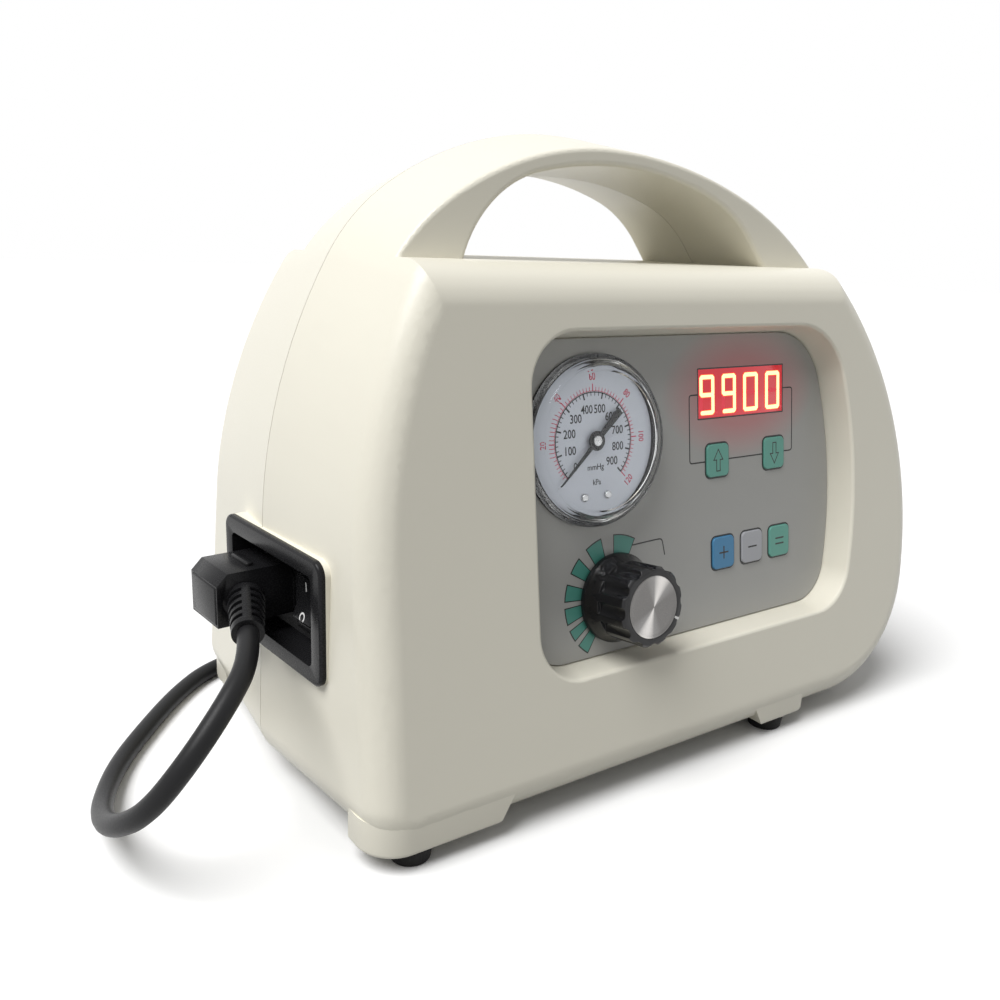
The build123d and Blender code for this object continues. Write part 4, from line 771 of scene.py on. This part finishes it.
# Lit display: four figures of seven segments, with the unlit ones faintly seen
DIGIT_HEIGHT = 16.0
DIGIT_MIDDLE = 13.1
STROKE = 1.95
SEGMENTS = {
    "a": (0, 1, 0), "b": (0.5, 0.5, 90), "c": (0.5, -0.5, 90), "d": (0, -1, 0), "e": (-0.5, -0.5, 90),
    "f": (-0.5, 0.5, 90), "g": (0, 0, 0),
}
FIGURES = {"9": "abcdfg", "0": "abcdef"}
lit = bmesh.new()
halo = bmesh.new()
unlit = bmesh.new()
for figure, left, right in (("9", 54.7, 63.3), ("9", 67.3, 75.8), ("0", 79.9, 89.0), ("0", 93.3, 102.4)):
    across = right - left - STROKE
    tall = DIGIT_HEIGHT - STROKE
    for segment, (x, y, turn) in SEGMENTS.items():
        middle = ((left + right) / 2 + x * across, DIGIT_MIDDLE + y * tall / 2)
        length = (tall / 2 if turn else across) + STROKE * 0.55
        if segment in FIGURES[figure]:
            add_plate(lit, (*middle, 0.07), length - 0.5, STROKE - 0.35, corner=0.75, turn=turn)
            add_plate(halo, (*middle, 0.03), length + 0.15, STROKE + 0.25, corner=0.95, turn=turn)
        else:
            add_plate(unlit, (*middle, 0.03), length - 0.5, STROKE - 0.2, corner=0.8, turn=turn)
for point_place in (64.6, 77.0, 90.2, 103.2):
    add_plate(unlit, (point_place, 5.9, 0.03), 1.1, 1.1, corner=0.5)
printed("display_figures", lit, "lit_segment")
printed("display_glow", halo, "segment_edge")
printed("display_unlit", unlit, "unlit_segment")
window_rim = bmesh.new()
add_plate(window_rim, (*WINDOW, 0.03), 51.0, 20.3, corner=0.4, rim=RIM)
printed("display_rim", window_rim, "black_print")

# Gauge: printed dial, needle boss and the clear cover with its moulded rings
DIAL_TOP = 0.22
SCALE_START = 225
SCALE_END = -45
BLACK_FULL = 900
RED_FULL = 120
black_marks = bmesh.new()
red_marks = bmesh.new()


def scale_turn(share):
    """The direction on the dial, in degrees, of a share of the full scale."""
    return SCALE_START + (SCALE_END - SCALE_START) * share


def dial_point(turn, reach):
    """A point on the dial in a direction in degrees."""
    angle = math.radians(turn)
    return (reach * math.cos(angle), reach * math.sin(angle), DIAL_TOP)


def add_tick(bm, turn, inner, outer, width):
    """A radial mark on the dial."""
    add_plate(bm, dial_point(turn, (inner + outer) / 2), outer - inner, width, turn=turn)


for mark in range(0, BLACK_FULL + 1, 20):
    inner, width = (15.3, 0.62) if mark % 100 == 0 else (16.2, 0.32)
    add_tick(black_marks, scale_turn(mark / BLACK_FULL), inner, 17.7, width)
for mark in range(0, RED_FULL + 1, 2):
    outer, width = (20.4, 0.42) if mark % 20 == 0 else (19.3, 0.26)
    add_tick(red_marks, scale_turn(mark / RED_FULL), 17.9, outer, width)
add_sector(black_marks, (0, 0, DIAL_TOP), 17.25, 17.65, SCALE_END, SCALE_START)
add_sector(red_marks, (0, 0, DIAL_TOP), 17.8, 18.0, SCALE_END, SCALE_START)
for number in range(0, BLACK_FULL + 1, 100):
    place = dial_point(scale_turn(number / BLACK_FULL), 12.6 if number == 0 else 11.6)
    add_words(black_marks, str(number), place, 3.0, narrow=0.84)
for number, turn in ((20, 90), (40, 45), (60, 0), (80, -45), (100, -90), (120, 45)):
    place = dial_point(scale_turn(number / RED_FULL), 22.7)
    add_words(red_marks, str(number), place, 2.4, turn, narrow=0.84)
add_words(black_marks, "mmHg", (0.4, -9.7, DIAL_TOP), 2.1, narrow=0.95)
add_words(black_marks, "kPa", (0.8, -15.3, DIAL_TOP), 2.0, narrow=0.95)
printed("dial_black_marks", black_marks, "black_print")
printed("dial_red_marks", red_marks, "red_print")

boss = bmesh.new()
turned(boss, [(0, 2.9), (1.2, 2.85), (1.75, 2.65), (1.95, 2.3), (1.95, 2.1), (0, 2.1)], panel, 48)
shade(boss, 40)
finish_piece("needle_boss", boss, "steel", "needle")
cover = bmesh.new()
turned(cover, [
    (0, 8.0), (10, 7.95), (18, 7.8), (24.6, 7.45), (25.6, 7.2), (26.2, 6.6), (26.9, 6.5), (27.5, 6.85),
    (28.3, 6.7), (29.0, 6.0), (29.5, 4.4), (29.9, 3.9), (30.8, 3.6), (31.3, 2.9), (31.45, 2.0),
    (31.45, 1.05), (29.6, 1.05), (29.4, 2.4), (28.4, 3.2), (27.9, 4.9), (27.3, 5.4), (25.4, 5.5),
    (24.8, 6.0), (18, 6.3), (10, 6.4), (0, 6.45),
], panel, 128)
shade(cover, 34)
finish_piece("gauge_cover_clear", cover, "gauge_clear", stands_for=["gauge_cover"])

# Marks on the rocker, laid on its two faces by a ray from outside
MARK_FROM_HINGE = 5.4
MARK_LIFT = 0.04 * MM
RAY_START = 0.02
rocker_signs = bmesh.new()
add_plate(rocker_signs, (0, MARK_FROM_HINGE, 0), 0.7, 3.4)
add_sector(rocker_signs, (0, -MARK_FROM_HINGE, 0), 1.15, 1.75, 0, 360)
bmesh.ops.triangulate(rocker_signs, faces=rocker_signs.faces[:])
bmesh.ops.transform(rocker_signs, matrix=rocker_place, verts=rocker_signs.verts)
bpy.context.view_layer.update()
for vert in rocker_signs.verts:
    hit, spot, normal, _ = rocker.ray_cast(vert.co + wall_out * RAY_START, -wall_out)
    if hit:
        vert.co = spot + normal * MARK_LIFT
finish_piece("rocker_signs", rocker_signs, "white_print", "rocker")

# Floor, background and light
FLOOR_REACH = 6
floor = bmesh.new()
bmesh.ops.create_grid(floor, x_segments=1, y_segments=1, size=FLOOR_REACH)
floor_mesh = bpy.data.meshes.new("floor")
floor.to_mesh(floor_mesh)
floor.free()
floor_piece = bpy.data.objects.new("floor", floor_mesh)
bpy.context.scene.collection.objects.link(floor_piece)


def link_seen(tree):
    """1 for a ray straight from the camera, from a reflection or through glass, else 0."""
    rays = tree.nodes.new("ShaderNodeLightPath")
    seen = rays.outputs["Is Camera Ray"]
    for kind in ("Is Glossy Ray", "Is Transmission Ray"):
        more = tree.nodes.new("ShaderNodeMath")
        more.operation = "MAXIMUM"
        tree.links.new(seen, more.inputs[0])
        tree.links.new(rays.outputs[kind], more.inputs[1])
        seen = more.outputs["Value"]
    return seen


# The floor and the sky are seen white, and light the object at a plainer level
FLOOR_LIT = (0.28, 0.28, 0.27)
FLOOR_SEEN = (1.0, 1.0, 1.0)
SKY_LIT = 0.28
SKY_SEEN = 1.0
floor_look = surface("pale_floor", (0.9, 0.9, 0.9), 0.8, grain=2, relief=0.02, vary=0.01)
floor_tree = floor_look.node_tree
floor_colour = link_blend(floor_tree, link_seen(floor_tree), FLOOR_LIT, FLOOR_SEEN)
floor_tree.links.new(floor_colour, floor_tree.nodes["Principled BSDF"].inputs["Base Color"])
floor_tree.nodes["Principled BSDF"].inputs["Specular IOR Level"].default_value = 0.1
floor_mesh.materials.append(floor_look)

world = bpy.data.worlds.new("studio")
bpy.context.scene.world = world
world.use_nodes = True
sky = world.node_tree.nodes["Background"]
sky.inputs["Color"].default_value = (1, 1, 1, 1)
strength = world.node_tree.nodes.new("ShaderNodeMapRange")
strength.inputs["To Min"].default_value = SKY_LIT
strength.inputs["To Max"].default_value = SKY_SEEN
world.node_tree.links.new(link_seen(world.node_tree), strength.inputs["Value"])
world.node_tree.links.new(strength.outputs["Result"], sky.inputs["Strength"])

# One soft lamp from the upper left
LAMP_FROM = Vector((-0.50, -0.05, 0.865))
lamp_data = bpy.data.lights.new("window_light", "SUN")
lamp_data.energy = 3.25
lamp_data.angle = math.radians(40)
lamp = bpy.data.objects.new("window_light", lamp_data)
bpy.context.scene.collection.objects.link(lamp)
lamp.rotation_euler = LAMP_FROM.to_track_quat("Z", "Y").to_euler()

bpy.context.scene.view_settings.view_transform = "Standard"
